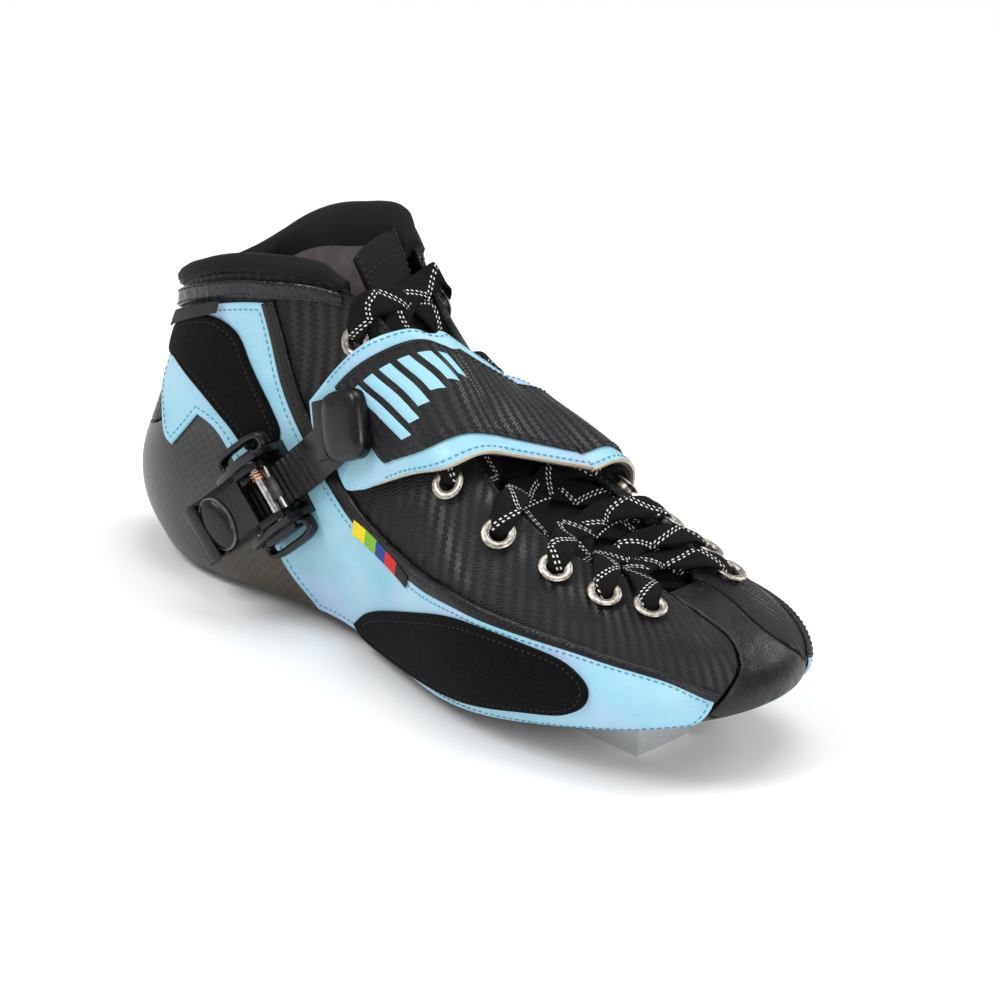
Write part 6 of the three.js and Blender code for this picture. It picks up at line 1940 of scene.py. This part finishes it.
class BootStage(bpy.types.PropertyGroup):
    """The camera and the light."""

    azimuth: bpy.props.FloatProperty(
        name="Azimuth", description="Direction of the camera", default=math.radians(41.3), subtype="ANGLE"
    )
    elevation: bpy.props.FloatProperty(
        name="Elevation", description="Height of the camera", default=math.radians(23), subtype="ANGLE"
    )
    roll: bpy.props.FloatProperty(
        name="Roll", description="Turn about the line of sight", default=math.radians(4.3), subtype="ANGLE"
    )
    lens: bpy.props.FloatProperty(
        name="Lens", description="Focal length", default=126.0, unit="CAMERA"
    )
    key: bpy.props.FloatProperty(
        name="Key", description="Power of the key light", default=17.0, unit="POWER"
    )
    fill: bpy.props.FloatProperty(
        name="Fill", description="Strength of the even light from all round", default=0.55, min=0.0
    )


class BOOT_OT_finishes(bpy.types.Operator):
    """Makes the materials of the boot"""

    bl_idname = "boot.finishes"
    bl_label = "Finishes"

    def execute(self, context):
        make_finishes()
        return {"FINISHED"}


class BOOT_OT_shell(bpy.types.Operator):
    """Builds the moulded carbon shell"""

    bl_idname = "boot.shell"
    bl_label = "Carbon shell"

    def execute(self, context):
        make_shell()
        return {"FINISHED"}


class BOOT_OT_upper(bpy.types.Operator):
    """Builds the quarters and the toe cap"""

    bl_idname = "boot.upper"
    bl_label = "Quarters and toe"

    def execute(self, context):
        make_quarters()
        return {"FINISHED"}


class BOOT_OT_panels(bpy.types.Operator):
    """Builds the sewn side panels and their binding"""

    bl_idname = "boot.panels"
    bl_label = "Side panels"

    def execute(self, context):
        make_side_panels()
        return {"FINISHED"}


class BOOT_OT_pads(bpy.types.Operator):
    """Builds the felt wear pads"""

    bl_idname = "boot.pads"
    bl_label = "Felt pads"

    def execute(self, context):
        make_pads()
        return {"FINISHED"}


class BOOT_OT_labels(bpy.types.Operator):
    """Builds the label, the banded tab and the heel print"""

    bl_idname = "boot.labels"
    bl_label = "Label and tab"

    def execute(self, context):
        make_labels()
        make_heel_print()
        return {"FINISHED"}


class BOOT_OT_collar(bpy.types.Operator):
    """Builds the collar and the rolled cuff"""

    bl_idname = "boot.collar"
    bl_label = "Collar"

    def execute(self, context):
        make_collar()
        return {"FINISHED"}


class BOOT_OT_lining(bpy.types.Operator):
    """Builds the inside of the boot"""

    bl_idname = "boot.lining"
    bl_label = "Lining and footbed"

    def execute(self, context):
        make_lining()
        return {"FINISHED"}


class BOOT_OT_tongue(bpy.types.Operator):
    """Builds the tongue"""

    bl_idname = "boot.tongue"
    bl_label = "Tongue"

    def execute(self, context):
        make_tongue()
        return {"FINISHED"}


class BOOT_OT_eyelets(bpy.types.Operator):
    """Builds the eyelets"""

    bl_idname = "boot.eyelets"
    bl_label = "Eyelets"

    def execute(self, context):
        make_eyelets()
        return {"FINISHED"}


class BOOT_OT_lace(bpy.types.Operator):
    """Builds the lace"""

    bl_idname = "boot.lace"
    bl_label = "Lace"

    def execute(self, context):
        make_lace()
        return {"FINISHED"}


class BOOT_OT_strap(bpy.types.Operator):
    """Builds the instep strap"""

    bl_idname = "boot.strap"
    bl_label = "Instep strap"

    def execute(self, context):
        make_strap()
        return {"FINISHED"}


class BOOT_OT_buckle(bpy.types.Operator):
    """Builds the ratchet buckle, the toothed strap and its cap"""

    bl_idname = "boot.buckle"
    bl_label = "Buckle and ladder"

    def execute(self, context):
        for make in (make_bed, make_lever, make_pawls, make_pins, make_springs, make_rivets, make_ladder):
            make()
        return {"FINISHED"}


class BOOT_OT_mounts(bpy.types.Operator):
    """Gives the frame mounts and their thread inserts their finishes"""

    bl_idname = "boot.mounts"
    bl_label = "Frame mounts"

    def execute(self, context):
        for name in ("heel_mount_block", "front_mount_block", "heel_thread_insert", "front_thread_insert"):
            finish = FINISHES["aluminium" if "block" in name else "steel"]
            made = bpy.data.objects[name]
            made.data.materials.clear()
            made.data.materials.append(finish)
        return {"FINISHED"}


class BOOT_OT_stage(bpy.types.Operator):
    """Places the camera, the lights and the floor"""

    bl_idname = "boot.stage"
    bl_label = "Stage"

    def execute(self, context):
        make_stage()
        return {"FINISHED"}


STEPS = [
    BOOT_OT_stage,
    BOOT_OT_finishes,
    BOOT_OT_mounts,
    BOOT_OT_shell,
    BOOT_OT_upper,
    BOOT_OT_panels,
    BOOT_OT_pads,
    BOOT_OT_labels,
    BOOT_OT_collar,
    BOOT_OT_lining,
    BOOT_OT_tongue,
    BOOT_OT_eyelets,
    BOOT_OT_lace,
    BOOT_OT_strap,
    BOOT_OT_buckle,
]


class BOOT_PT_panel(bpy.types.Panel):
    """Lists the steps and the sizes"""

    bl_idname = "BOOT_PT_panel"
    bl_label = "Speed skating boot"
    bl_space_type = "VIEW_3D"
    bl_region_type = "UI"
    bl_category = "Boot"

    def draw(self, context):
        layout = self.layout
        for label in GROUPS:
            group = getattr(context.scene, label)
            for name in group.__annotations__:
                layout.prop(group, name)
        for step in STEPS:
            layout.operator(step.bl_idname)


GROUPS = {
    "boot_stitching": BootStitching,
    "boot_lacing": BootLacing,
    "boot_colours": BootColours,
    "boot_stage": BootStage,
}
CLASSES = [*GROUPS.values(), *STEPS, BOOT_PT_panel]


def register():
    for made in CLASSES:
        bpy.utils.register_class(made)
    for label, group in GROUPS.items():
        setattr(bpy.types.Scene, label, bpy.props.PointerProperty(type=group))


def unregister():
    for label in GROUPS:
        delattr(bpy.types.Scene, label)
    for made in reversed(CLASSES):
        bpy.utils.unregister_class(made)


def main():
    register()
    for step in STEPS:
        group, name = step.bl_idname.split(".")
        getattr(getattr(bpy.ops, group), name)()


if __name__ == "__main__":
    main()
